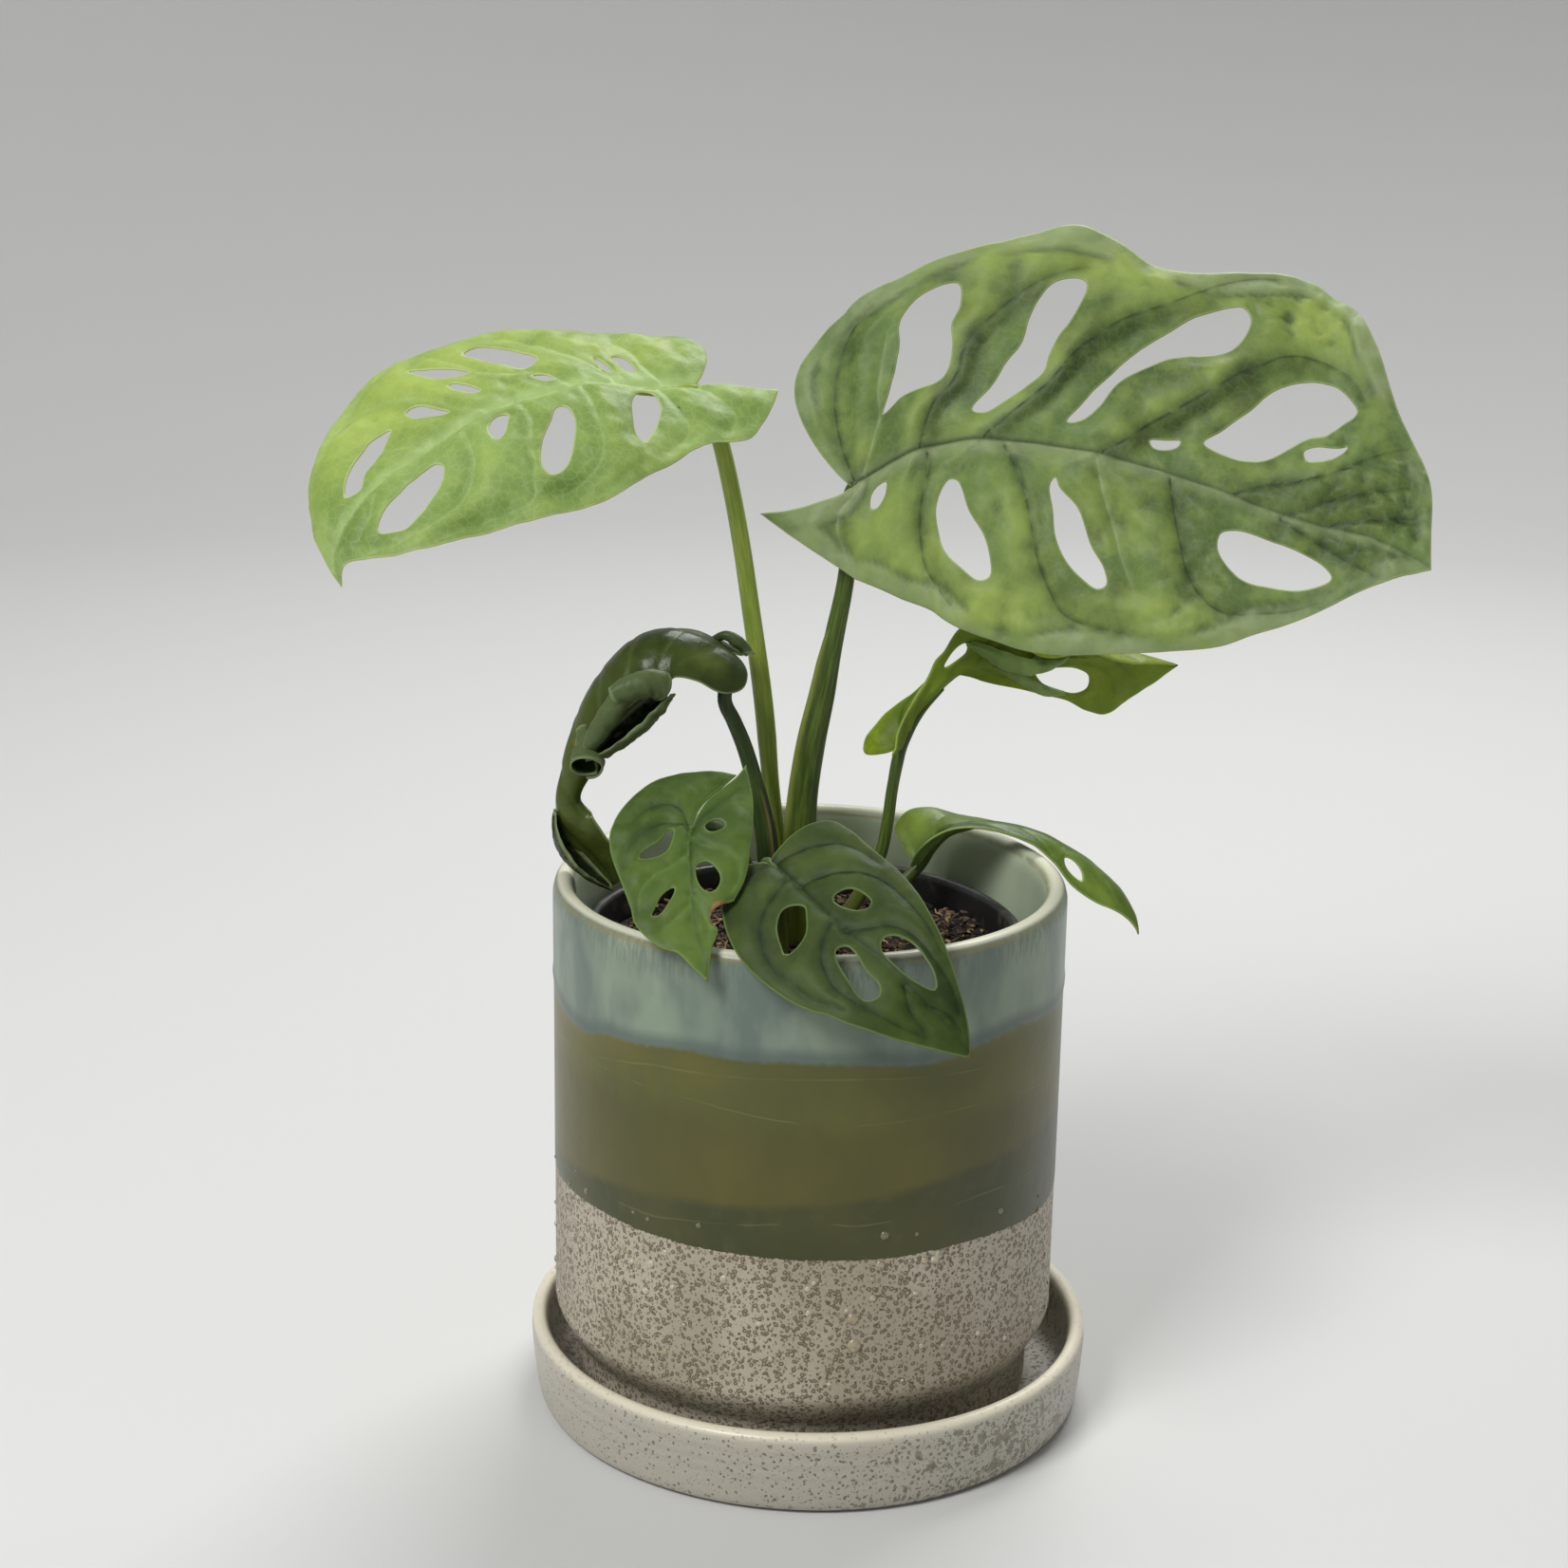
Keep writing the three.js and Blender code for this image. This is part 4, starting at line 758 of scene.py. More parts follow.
def blade(name, node, material, lay, outline, holes, veins, midrib=None, grid=1.15, squeeze=1.0,
          puff=0.8, groove=0.45, crumple=0.3, wave=0.4, rib=1.0, ridge=(), dark=(), keel=0.9, band=0.3,
          crumb=4.2, pale_vein=0.7, hem_width=3.0, hem_shown=0.0, sunlit=(), shaded=(), dry=(), creased=(),
          seed=0.0):
    """A whole leaf blade: cut out on the flat, blistered between its veins, laid on the air and given its
    two faces, with the midrib and side veins standing out underneath. ridge has how far the tissue stands
    up along each side vein before it drops towards the tip, with painted light on its rise and painted
    shade where it drops, and dark which veins show as dark creases of painted shade. sunlit and shaded give
    patches of painted light and painted shade."""
    midrib = midrib or [(0, 0), (lay.length * 0.3, 0), (lay.length * 0.7, 0), (lay.length, 0)]
    spots, triangles, loops = flat_blade(outline, holes, [midrib, *veins], grid, squeeze)
    fine_loops = [np.vstack([loop + (np.roll(loop, -1, axis=0) - loop) * k / 4 for k in range(4)])
                  for loop in loops]
    edge, _ = nearest(np.vstack(fine_loops), spots)

    def beside(line):
        """Signed distance to a line, positive on its left, and how far along it the spot lies, 0 to 1."""
        apart = spots[:, None, :] - line[None, ::2, :]
        far = np.hypot(apart[..., 0], apart[..., 1])
        at = far.argmin(1)
        run = unit(np.gradient(line[::2], axis=0))[at]
        gap = apart[np.arange(len(spots)), at]
        return far.min(1) * np.sign(run[:, 0] * gap[:, 1] - run[:, 1] * gap[:, 0]), at / (len(line) / 2 - 1)

    main = spaced(midrib, False, 0.3)
    off_main, along_main = beside(main)
    to_main = np.abs(off_main)
    taper = 1 - np.clip(along_main, 0, 1)
    to_side = np.full(len(spots), np.inf)
    strength, standing, crease_shade, pale, lit, dim = np.zeros((6, len(spots)))
    for k, vein in enumerate(veins):
        off, along = beside(spaced(vein, False, 0.5))
        off = off * (1 if vein[-1][1] > vein[0][1] else -1)
        along = np.clip(along, 0, 1)
        here = 1 - 0.5 * along ** 2
        closer = np.abs(off) < to_side
        to_side = np.where(closer, np.abs(off), to_side)
        strength = np.where(closer, here, strength)
        height = ridge[k] if k < len(ridge) else 0.0
        if height:
            slope = fade(off, 6.5)
            form = np.where(off > 0, slope, 1.5 * fade(off, 2.6) - 0.5 * slope)
            carried = np.sin(math.pi * np.clip(0.08 + 0.92 * along, 0, 1) ** 0.7)
            standing += height * form * carried
            # Painted light on the rise of each ridge, and painted shade where it drops towards the tip.
            lit = np.maximum(lit, 0.2 * height * carried * fade(off - 3, 2.6))
            dim = np.maximum(dim, 0.24 * height * carried * fade(off + 2.3, 2.0))
        line = fade(off + 0.1, 0.5) * here
        # Veins listed in dark get a line of painted shade in their crease; the others a pale vein line.
        if k in dark:
            crease_shade = np.maximum(crease_shade, 0.95 * line)
        else:
            pale = np.maximum(pale, pale_vein * line)
    to_any = np.minimum(to_side, to_main)

    # Relief sinks towards the cut edges, so that they run smooth.
    firm = np.clip(edge / 5, 0, 1)
    firm = 0.4 + 0.6 * firm * firm * (3 - 2 * firm)

    # Swellings between the veins, wrinkles where the blade was creased, and a slow wave through it all.
    swell = np.array([
        noise.noise((x / crumb, y / crumb, seed))
        + 0.28 * noise.noise((x / crumb * 2.3, y / crumb * 2.3, seed + 5)) for x, y in spots])
    rough = patches(spots, creased)
    if creased:
        wrinkle = np.array([noise.noise((x / 2.6, y / 2.0, seed + 7)) for x, y in spots])
        swell = swell + 1.1 * rough * wrinkle
    slow = np.array([noise.noise((x * 0.05, y * 0.05, seed + 9)) for x, y in spots])

    # The gathering vein that runs round inside the margin, with painted shade in its groove, and the paler
    # hem outside it.
    from_rim = nearest(fine_loops[0], spots)[0] - hem_width * (1 + 0.9 * slow)
    fading = hem_shown * np.clip(0.65 - 0.9 * swell + 1.2 * slow, 0.15, 1)
    hemmed = fading * np.clip(0.5 - from_rim / 2.4, 0, 1)
    gathering = fading * fade(from_rim, 0.8) * np.clip(edge / 2, 0, 1)

    # The upper face: cushions between the veins, which lie in grooves.
    cushion = (1 - fade(to_any, 4.0)) * firm
    relief = puff * cushion - 0.45 * puff + standing * firm
    relief += crumple * (1 + 0.7 * rough) * swell * (0.35 + 0.65 * cushion) + wave * slow
    relief -= groove * gathering
    relief -= groove * strength * fade(to_side, 0.9) * np.clip(edge / 1.2, 0, 1)
    relief -= 1.2 * groove * fade(to_main, 0.9) * (0.35 + 0.65 * taper)

    # Half the thickness, drawn thin at the cut edges, and the ribs that stand out underneath.
    half = 0.13 + 0.25 * np.clip(edge / 0.55, 0, 1)
    under = half + rib * fade(to_main, 1.25) * taper ** 0.7 * np.clip(edge / 2, 0, 1)
    under += 0.3 * rib * strength * fade(to_side, 0.8) * np.clip(edge / 1.5, 0, 1)
    upper_face = lay.at(spots[:, 0], spots[:, 1], relief + half)
    lower_face = lay.at(spots[:, 0], spots[:, 1], relief - under)

    # Both faces, joined along each side that only one triangle has.
    n = len(spots)
    cut = {}
    for a, b, c in triangles.tolist():
        for side in ((a, b), (b, c), (c, a)):
            if side[::-1] in cut:
                del cut[side[::-1]]
            else:
                cut[side] = True
    faces = triangles.tolist() + (triangles[:, ::-1] + n).tolist()
    faces += [(b, a, a + n, b + n) for a, b in cut]

    # What the leaf tissue shows where, painted light and painted shade among it.
    # Painted shade: a dark line beside the midrib. The pale band along the midrib is the tissue's own
    # colour.
    main_crease = keel * fade(off_main - 0.7, 0.5) * (0.45 + 0.55 * taper)
    main_band = band * fade(off_main + 0.7, 0.9 + 1.6 * taper) * (0.3 + 0.7 * taper) ** 0.5
    layers = {
        "flat": np.column_stack([spots / 1000, np.full(n, seed / 100)]),
        "edge": edge,
        # Painted light on the tops of the swellings, and painted shade between them.
        "swell": np.clip(0.5 + 0.65 * swell * (0.4 + 0.6 * cushion) + 0.25 * (cushion - 0.5), 0, 1),
        "vein": pale,
        # Painted shade along the dark veins, beside the midrib and in the gathering vein's groove.
        "crease_shade": np.maximum(np.maximum(crease_shade, main_crease), 0.6 * gathering),
        "band": np.maximum(0.75 * hemmed, main_band),
        # Painted light and painted shade: the listed patches, and the rise and drop of the ridges.
        "sunlit": np.maximum(patches(spots, sunlit), lit),
        "shaded": np.maximum(patches(spots, shaded), dim),
        "dry": patches(spots, dry),
    }
    doubled = {layer: np.concatenate([values, values]) for layer, values in layers.items()}
    doubled["under"] = np.r_[np.zeros(n), np.ones(n)]
    return piece(name, np.vstack([upper_face, lower_face]), faces, node, material, doubled)


def stalk_skin(name, light, deep, base, wing):
    """A fleshy stalk: streaked along its length, paler or redder towards the soil, papery on its sheath."""
    skin = Finish(name, Subsurface_Weight=0.1, Subsurface_Scale=0.0015, Subsurface_Radius=(0.5, 1.0, 0.25),
                  Specular_IOR_Level=0.35)
    flat = skin.worked("flat", "Vector")
    streak = flat.drawn_out(1, 0.07, 1).cloud(0.9, 3.0, 0.6)
    flesh = streak.ease(0.35, 0.7).between(deep, light).coated(
        (flat.cloud(5.0).ease(0.45, 0.7) * 0.3, deep), (skin.worked("low").ease(0.3, 1.0), base),
        (skin.worked("knee") * 0.55, deep), (skin.worked("wing"), wing),
        (flat.cells(1.6).ease(0.16, 0.05) * 0.2, wing))
    return skin.finished(flesh, streak * 0.2 + 0.3, streak.raised(0.1))


stalk_foot, soil_line = 108, 118.5


def stalk(name, node, material, lay, course, tip, sink=0.6, wings=(), knee=8.0, sides=36):
    """A leaf stalk along a given course of x, y, height and radius, sunk in the soil at one end and run
    in under the midrib at the other. A wing of its sheath has a side in degrees, the height it reaches, how
    far it stands out, and its breadth in degrees."""
    foot_x, foot_y, _, foot = course[0]
    path = [(foot_x, foot_y, stalk_foot, foot), (foot_x, foot_y, soil_line, foot), *course]
    # How far in under the midrib, and how much of the tip's radius is left there.
    tuck = [(0, 1.0), (5, 0.9), (12, 0.62), (20, 0.34)]
    path += [(*lay.at(x, 0, -0.5 - sink * min(0.5 + x / 6, 1) - 0.8 * tip * k), tip * k) for x, k in tuck]
    line = spaced(path, False, 1.1)
    centre, radius = line[:, :3], np.maximum(line[:, 3], 0.25)
    along = np.r_[0, np.cumsum(np.linalg.norm(np.diff(centre, axis=0), axis=1))]
    run = unit(np.gradient(centre, axis=0))
    ends = np.linalg.norm(centre - lay.at(0, 0), axis=1)
    swollen = fade(ends - knee * 0.6, knee * 0.55) * (centre[:, 2] > soil_level + 4.5)
    across = np.array((1.0, 0, 0))
    angles = np.arange(sides) / sides * 2 * math.pi
    points, wing_layer, flat = [], [], []
    for i, (middle, ahead) in enumerate(zip(centre, run)):
        across = unit(across - ahead * (across @ ahead))
        beyond = np.cross(ahead, across)
        size = radius[i] * (1 + 0.1 * swollen[i]) * np.ones(sides)
        papery = np.zeros(sides)
        for side, top, stand, breadth in wings:
            share = np.clip((top - middle[2]) / 9, 0, 1) ** 0.6
            off = np.degrees((angles - math.radians(side) + math.pi) % (2 * math.pi) - math.pi)
            size *= 1 - 0.1 * share / len(wings)
            flap = fade(off, breadth)
            size += stand * share * (flap - 0.5 * fade(off - 2.2 * breadth, breadth))
            papery = np.maximum(papery, share * fade(off, breadth * 0.6))
        size *= 1 + 0.02 * np.sin(angles * 5 + i * 0.05)
        points.append(middle + np.outer(np.cos(angles) * size, across)
                      + np.outer(np.sin(angles) * size, beyond))
        wing_layer.append(papery)
        flat.append(np.column_stack(
            [angles * radius[0] / 1000, np.full(sides, along[i] / 1000), 0 * angles]))
    points = np.vstack([centre[:1], *points, centre[-1:]])
    layers = {
        "flat": np.vstack([[(0, 0, 0)], *flat, [(0, along[-1] / 1000, 0)]]),
        "wing": np.r_[0, np.concatenate(wing_layer), 0],
        "low": np.clip((150 - points[:, 2]) / 32, 0, 1),
        "knee": np.r_[0, np.repeat(swollen, sides), 0],
    }
    return piece(name, points, tube(len(centre), sides), node, material, layers)


right_lay = Lay(
    [(8, 4, 239), (19, 1, 246), (30, -2, 251), (47.5, -7, 252.5), (69, -13, 250), (90.5, -20, 245),
     (111.5, -28, 238.5), (129.5, -36, 235.5), (141, -43, 230.5)],
    (0.1, -0.93, 0.36), 0.6,
    [(0, 0, 0, 2, 0, 2), (0.3, 0, 0, 2.5, 0, 3), (0.7, 0, 0, 3, 0, 3.5), (1, 0, 0, 4, 0, 4)])
right_outline = [
    [(0, 0), (-4, 4.5), (-9.5, 13), (-13, 22), (-13, 29), (-11, 33.5), (-5.5, 40), (2, 45), (16, 46.5),
     (29, 50.5), (43, 56), (48, 57), (55, 55.5), (65, 51.5), (74, 51.5), (87, 56), (98, 59.5), (106, 58),
     (115, 55.5), (121.5, 48.5), (131, 30), (141, 17), (144.5, 8), (147.5, 0)],
    [(147.5, 0), (141, -5.5), (131, -14), (112, -28), (103, -35), (84, -43), (65, -48.5), (55, -49.5),
     (44, -48), (31, -44), (13.5, -34), (0, -23), (-18, -9), (-24, -4)],
    [(-24, -4), (-15.5, -4), (-8, -3), (-2, -1.5), (0, 0)],
]
right_holes = [
    [(10, 13.5), (12, 18.5), (14.5, 28), (14.5, 34), (17, 37.5), (21, 40), (26, 41), (27, 35), (26, 30),
     (26.5, 24), (26, 18.5), (24, 16), (15, 15.5)],
    [(32, 8), (35.5, 13), (38.5, 20), (41, 25), (41.5, 31), (43, 37), (46, 41.5), (51, 43), (52.5, 41.5),
     (51, 32), (49, 27), (48, 22), (47.5, 17.5), (44, 13.5), (40, 10), (35.5, 7)],
    [(55, 6.5), (57.5, 11), (61.5, 18.5), (66, 26), (72, 33.5), (77.5, 40), (84, 44.5), (88, 45.5),
     (90, 43), (88.5, 35), (85, 32), (77, 29), (71.5, 25.5), (64.5, 18.5), (62, 12), (58.5, 7.5)],
    [(87.5, 10), (91, 14.5), (96, 21.5), (99.5, 27.5), (104, 32), (110, 35), (115.5, 35), (121.5, 30),
     (119, 26), (115.5, 22), (111, 20), (103.5, 12.5), (98, 9.5), (93, 9)],
    [(111, 16.5), (113, 18), (119.5, 19.5), (121.5, 20.5), (119.5, 17), (112.5, 14.5)],
    [(75, 6.8), (78.5, 8), (82, 9), (81.5, 7), (76.5, 5.3)],
    [(5.5, -8), (6, -5), (8, -3.7), (10.5, -4), (10, -7), (7.5, -9)],
    [(28, -9.3), (30.5, -9.8), (35, -17.5), (39.5, -23), (42, -28.5), (42.5, -33), (40, -34), (34.5, -31),
     (28, -26), (25, -19.5), (25, -14)],
    [(55, -7.3), (56.5, -9.5), (62, -13.5), (67, -21.5), (71.5, -26), (73, -29.5), (71, -31), (66.5, -29.5),
     (61.5, -26), (58, -21), (56, -15), (54, -9.5)],
    [(97.5, -9.5), (101, -7.3), (109, -6.7), (115.5, -7), (121.5, -8.8), (124.5, -11.5), (118.5, -15.5),
     (111.5, -17), (105, -17.5), (98, -13.3)],
]
right_veins = [
    [(1, 1), (-1.5, 8), (-3, 17), (-2.5, 28), (0, 36), (8, 42)],
    [(4, 2), (7, 8), (9, 13), (9, 19), (10, 24), (11.5, 32)],
    [(20, 1), (23, 10), (27.5, 16), (29, 24), (32, 29), (36, 35), (40, 39.5), (44, 42.5), (52, 47)],
    [(36, 1), (42, 7), (47, 12), (51, 18), (54, 24), (58, 29), (62, 34), (67, 38), (72, 42), (77, 46.5),
     (82, 50.5), (87, 54), (92, 56)],
    [(65, 1), (70, 5), (73, 9), (78, 14), (82, 18), (87, 23), (92, 29), (96, 33), (99, 36.5), (103, 39),
     (108, 40), (114, 39.5), (119, 37.5), (123, 33)],
    [(98, 1), (105, 6), (112, 9), (120, 13), (127, 19), (133, 24)],
    [(112, 1), (120, 6), (128, 10), (136, 15)],
    [(122, 1), (130, 4), (138, 8)],
    [(3, -1), (-3, -6), (-4, -10), (-3, -15)],
    [(21.5, -1), (22, -6), (20, -14), (19.5, -21), (21, -29), (26, -35), (32, -40)],
    [(41, -1), (46, -8), (49, -14), (52, -21), (55, -28), (59, -34), (64, -39), (72, -40), (80, -39.5)],
    [(64, -1), (67, -8), (71, -15), (75, -22), (80, -29)],
    [(82, -1), (85, -8), (89, -16), (92, -21), (97, -25), (103, -26.5), (110, -24), (117, -21),
     (122, -18)],
    [(110, -1), (118, -3.5), (128, -7), (136, -8)],
]
mature_leaf = leaf_skin(
    "mature_leaf", deep=(60, 84, 46), fresh=(86, 112, 62), sun=(142, 160, 78),
    shade=(28, 44, 20), vein=(140, 154, 112), rim=(166, 180, 124), below=(114, 134, 88),
    shine=0.52, glow=0.03, net=0.1, mottle_and_painted_light=0.8)
blade(
    "large_right_leaf", "leaf_right_large", mature_leaf, right_lay, right_outline,
    right_holes, right_veins, puff=1.7, groove=0.7, crumple=0.75, wave=2.0, rib=1.5, seed=1.0, band=0.75,
    crumb=5.6, hem_width=4.6, hem_shown=0.8,
    ridge=(0.8, 0.7, 2.6, 2.8, 2.6, 1.4, 0.9, 0.4, 0.5, 0.9, 1.1, 0.8, 1.1, 0.7),
    dark=(0, 2, 3, 4, 5, 6, 7, 9, 10, 12, 13),
    sunlit=[(60, 47, 30, 7, 0.8), (104, 48, 13, 10, 0.8), (34, 45, 12, 6, 0.5), (40, -40, 28, 7, 0.8),
            (70, -12, 12, 8, 0.45), (20, -24, 15, 10, 0.6), (10, -14, 12, 8, 0.5), (98, 18, 8, 5, 0.4),
            (50, -22, 5, 10, 0.6), (90, -32, 16, 6, 0.6), (4, 5, 4, 5, 0.5), (30, 33, 4, 8, 0.5)],
    shaded=[(31, 20, 3, 12, 0.6), (57, 25, 4, 13, 0.6), (94, 27, 4, 9, 0.7), (2, 25, 5, 14, 0.3),
            (80, 22, 8, 3, 0.4), (125, 6, 12, 5, 0.45), (130, -4, 12, 5, 0.3)],
    creased=[(130, 8, 18, 16, 1.8), (100, 48, 18, 10, 0.7), (95, -22, 14, 12, 0.8), (70, -14, 10, 10, 0.8)])
right_stalk_skin = stalk_skin(
    "sheathed_stalk", (86, 104, 34), (50, 68, 20), (112, 124, 46), (130, 138, 62))
stalk(
    "large_right_stalk", "stalk_right_large", right_stalk_skin, right_lay,
    [(-2, 5, 124.5, 4.4), (-2.5, 5.5, 148, 4.3), (-2, 5.5, 159, 3.9), (0, 5.5, 174, 3.7),
     (2.5, 5.5, 186.5, 3.3), (5, 5.5, 201, 2.5), (7.5, 6, 215, 2.15), (8.5, 6.5, 227.5, 2)],
    1.7, sink=1.6, wings=[(215, 203, 1.5, 15), (70, 200, 0.9, 14)])


# The large left leaf and its stalk. A younger blade, thinner and a lighter yellow-green, arched out over
# the left side with its far half lit from behind and its tip hooked down. The stalk is slim and pale.
left_lay = Lay(
    [(-30, 8, 263), (-43.5, 3, 263), (-55.5, -2, 263.5), (-63, -5, 262.5), (-71, -8, 260),
     (-79, -12, 257.5), (-86.5, -16, 253.5), (-94, -20, 248), (-101.5, -25, 244), (-107.5, -29, 239.5),
     (-111.5, -32, 233), (-113, -33, 225.5), (-111.5, -32.6, 219.5)],
    (-0.05, -0.52, 0.85), 0.4,
    [(0, 0, 0, 6, -10, 14), (0.12, 0, 0, 6, -4, 8), (0.3, 0, 0, 7, 0, 4), (0.7, 0, 0, 7, 0, 7),
     (1, 0, 0, 7, 0, 22)])
left_outline = [
    [(0, 0), (-6, 2.5), (-12.5, 6.5), (-18, 9)],
    [(-18, 9), (-15, 13), (-10.5, 17.5), (-5.5, 21), (3.5, 21), (10, 23), (18, 27.5), (28.5, 32),
     (37.5, 34.5), (46.5, 34.5), (60, 32.5), (77, 26), (86, 23), (96.5, 17), (102.5, 9), (106.5, 3.5),
     (113.5, 0)],
    [(113.5, 0), (108, -2.5), (104, -8), (98, -15), (91, -23), (82, -31), (70, -36.5), (60, -36.5),
     (47, -35), (36, -32.5), (29.5, -30.5), (20, -28.5), (11, -28), (3, -27), (-3.5, -24), (-7, -18),
     (-7, -10), (-3, -3), (0, 0)],
]
left_holes = [
    [(12, 7), (14.5, 12.5), (18.5, 18), (21.5, 20.5), (22.5, 18.5), (21, 12), (18, 5), (14.8, 2),
     (12.2, 2.8)],
    [(36, 7), (36, 11), (40, 18), (45, 23), (49.5, 23.8), (50.5, 21), (46, 13.8), (41.5, 9.5), (38, 6)],
    [(49.5, 2.4), (51, 5), (53.5, 8), (56, 8.8), (56.5, 6), (55, 3.3), (51.8, 1.6)],
    [(70.5, 5.3), (72, 7.7), (77, 11.3), (83, 14), (89, 14.5), (94.5, 9.5), (90, 7.3), (83.5, 5.8),
     (75, 3.4), (71.3, 3.4)],
    [(12.5, -8), (13.5, -6.5), (16, -9.5), (16.3, -13.3), (13.5, -13)],
    [(18.7, -6.5), (20.5, -7), (21.2, -12.5), (19.6, -10.5)],
    [(33.8, -5.2), (36, -6), (38, -9), (35, -7.8)],
    [(34, -15.5), (36.3, -13), (39, -12.7), (42.3, -17), (45.5, -22), (47, -27), (43.5, -28.5),
     (36.3, -19.7)],
    [(50.8, -9), (52.4, -9), (55, -12.8), (55.3, -16.3), (52.7, -14)],
    [(49.3, -17.7), (51.8, -17.8), (56, -21), (58, -25.5), (59, -30), (55.5, -26.5), (51.5, -21.7)],
    [(60, -7.5), (63.5, -10), (67, -13.7), (66.8, -17), (64.5, -16.5), (62, -12.5)],
    [(72.7, -15), (76, -12), (82, -7.5), (85.5, -6), (89.3, -3), (92.5, -4.5), (88.8, -9), (83.3, -13),
     (77, -15.5)],
]
left_midrib = [(0, 0), (20, -1), (40, -1), (60, -1), (75, -2), (90, 0), (113, 0)]
left_veins = [
    [(0, 1), (-3.5, 8), (-4.5, 14), (-2, 18)],
    [(9.5, 2), (8.5, 9), (8, 15), (10, 19), (16, 23)],
    [(29, 1), (29.5, 6), (31, 14), (32, 19), (36, 25), (43, 28.5), (50, 29.8), (57, 28)],
    [(45, 1), (45.5, 7), (49, 13), (52, 20), (55.5, 24), (57.5, 27), (62, 28), (70, 25.5), (80, 23),
     (88, 22)],
    [(61, 0.5), (62, 5), (64, 10), (66.5, 13), (70.5, 16), (76, 18), (83, 18.5), (90, 17), (95, 15),
     (99, 11), (103, 8), (107, 2.5)],
    [(88, 1.5), (93, 5), (99, 5.5)],
    [(8, -2), (10, -8), (11, -16), (14, -20)],
    [(20, -2), (23, -9), (28, -15), (31, -20), (38, -29)],
    [(31, -2), (38, -11), (42, -12), (47, -16), (50, -23), (54, -33)],
    [(53, -2), (57, -6), (60, -13), (64, -20), (70, -26), (75, -28.5), (81, -28)],
    [(70, -3), (74, -7), (80, -11)],
]
young_leaf = leaf_skin(
    "young_leaf", deep=(104, 132, 64), fresh=(126, 152, 84), sun=(162, 180, 84),
    shade=(76, 104, 44), vein=(170, 194, 126), rim=(196, 208, 146), below=(144, 170, 90),
    shine=0.5, glow=0.1, net=0.16, mottle_and_painted_light=0.45)
blade(
    "large_left_leaf", "leaf_left_large", young_leaf, left_lay, left_outline, left_holes,
    left_veins, midrib=left_midrib, puff=1.3, groove=0.6, crumple=0.75, wave=1.2, rib=1.2, grid=1.05,
    seed=2.0, keel=0.36, band=0.85, pale_vein=0.38, hem_width=3.4, hem_shown=0.3,
    ridge=(0.4, 0.6, 1.4, 1.2, 1.3, 0.6, 0.6, 0.9, 1.1, 1.1, 0.7),
    sunlit=[(60, -22, 40, 16, 0.75), (15, -15, 18, 10, 0.5), (20, 26, 16, 6, 0.35)],
    shaded=[(46, 27, 14, 3.5, 0.7), (76, 22, 12, 3, 0.4), (30, 8, 20, 6, 0.25), (104, 3, 9, 5, 0.5),
            (24, -24, 22, 2.5, 0.3)],
    dry=[(8, 9, 0.5, 0.9, 0.8), (-7.5, 11, 0.9, 0.7, 0.7)])
left_stalk_skin = stalk_skin(
    "pale_stalk", (152, 168, 72), (126, 146, 50), (160, 172, 82), (168, 180, 98))
stalk(
    "large_left_stalk", "stalk_left_large", left_stalk_skin, left_lay,
    [(-8, 11.5, 124.5, 2.4), (-8.5, 11, 146, 2.4), (-10, 11, 157.5, 2.4), (-12.5, 10.5, 182.5, 2.4),
     (-15.5, 10.5, 203.5, 2.3), (-19.5, 10, 228.5, 2.2), (-24, 10, 248.5, 2.1), (-26.5, 10, 255.5, 2)],
    1.6, wings=[(100, 172, 0.5, 13)])


# The curled leaf and its stalk. An old dark blade that arches over to the left and down to the pot's
# rim: it never opened flat, and its margins are rolled up in scrolls with dry brown edges.
curled_lay = Lay(
    [(-20, -3, 198.5), (-26.5, -4, 202.5), (-35, -4.5, 204.5), (-44, -5, 202), (-51, -5, 195.5),
     (-57, -5, 186), (-60.5, -5, 176.5), (-62.5, -5, 167.5), (-63.8, -5, 159.5), (-62.3, -5, 154),
     (-58.7, -4.3, 149.5), (-54.2, -3, 144.5), (-51.2, -2, 140), (-49.6, -1, 135.5)],
    (-45, -3, 171), 0,
    [(0, 0, 5, 44, 0, 20, 16, 10, 10, -70), (0.1, 0, 5, 44, 4, 30, 15.5, 10, 12, 10),
     (0.13, 0, 5, 44, 6, 36, 15, 10, 13, 40), (0.165, 0, 5, 44, 8, 40, 15, -132, 14, 45),
     (0.2, 0, 5, 44, 8, 40, 15, -135, 14, 45), (0.34, 0, 5, 46, 8, 42, 12.5, -160, 14, 45),
     (0.48, 0, 5, 50, 8, 48, 9.5, -195, 14, 45), (0.515, 0, 5, 52, 8, 50, 9, -200, 14, 45),
     (0.56, 0, -15, 128, 8, 60, 24, 0, 14, 45), (0.6, 0, -15, 135, 8, 64, 24, 0, 14, 45),
     (0.68, 0, -10, 200, 5, 95, 24, 0, 14, 30), (0.72, 0, 0, 180, 0, 90, 24, 0, 14, 20),
     (0.8, 0, 45, 35, -45, 35, 24, 0, 14, 0), (1, 0, 45, 30, -45, 35, 24, 0, 14, 0)], around=True)
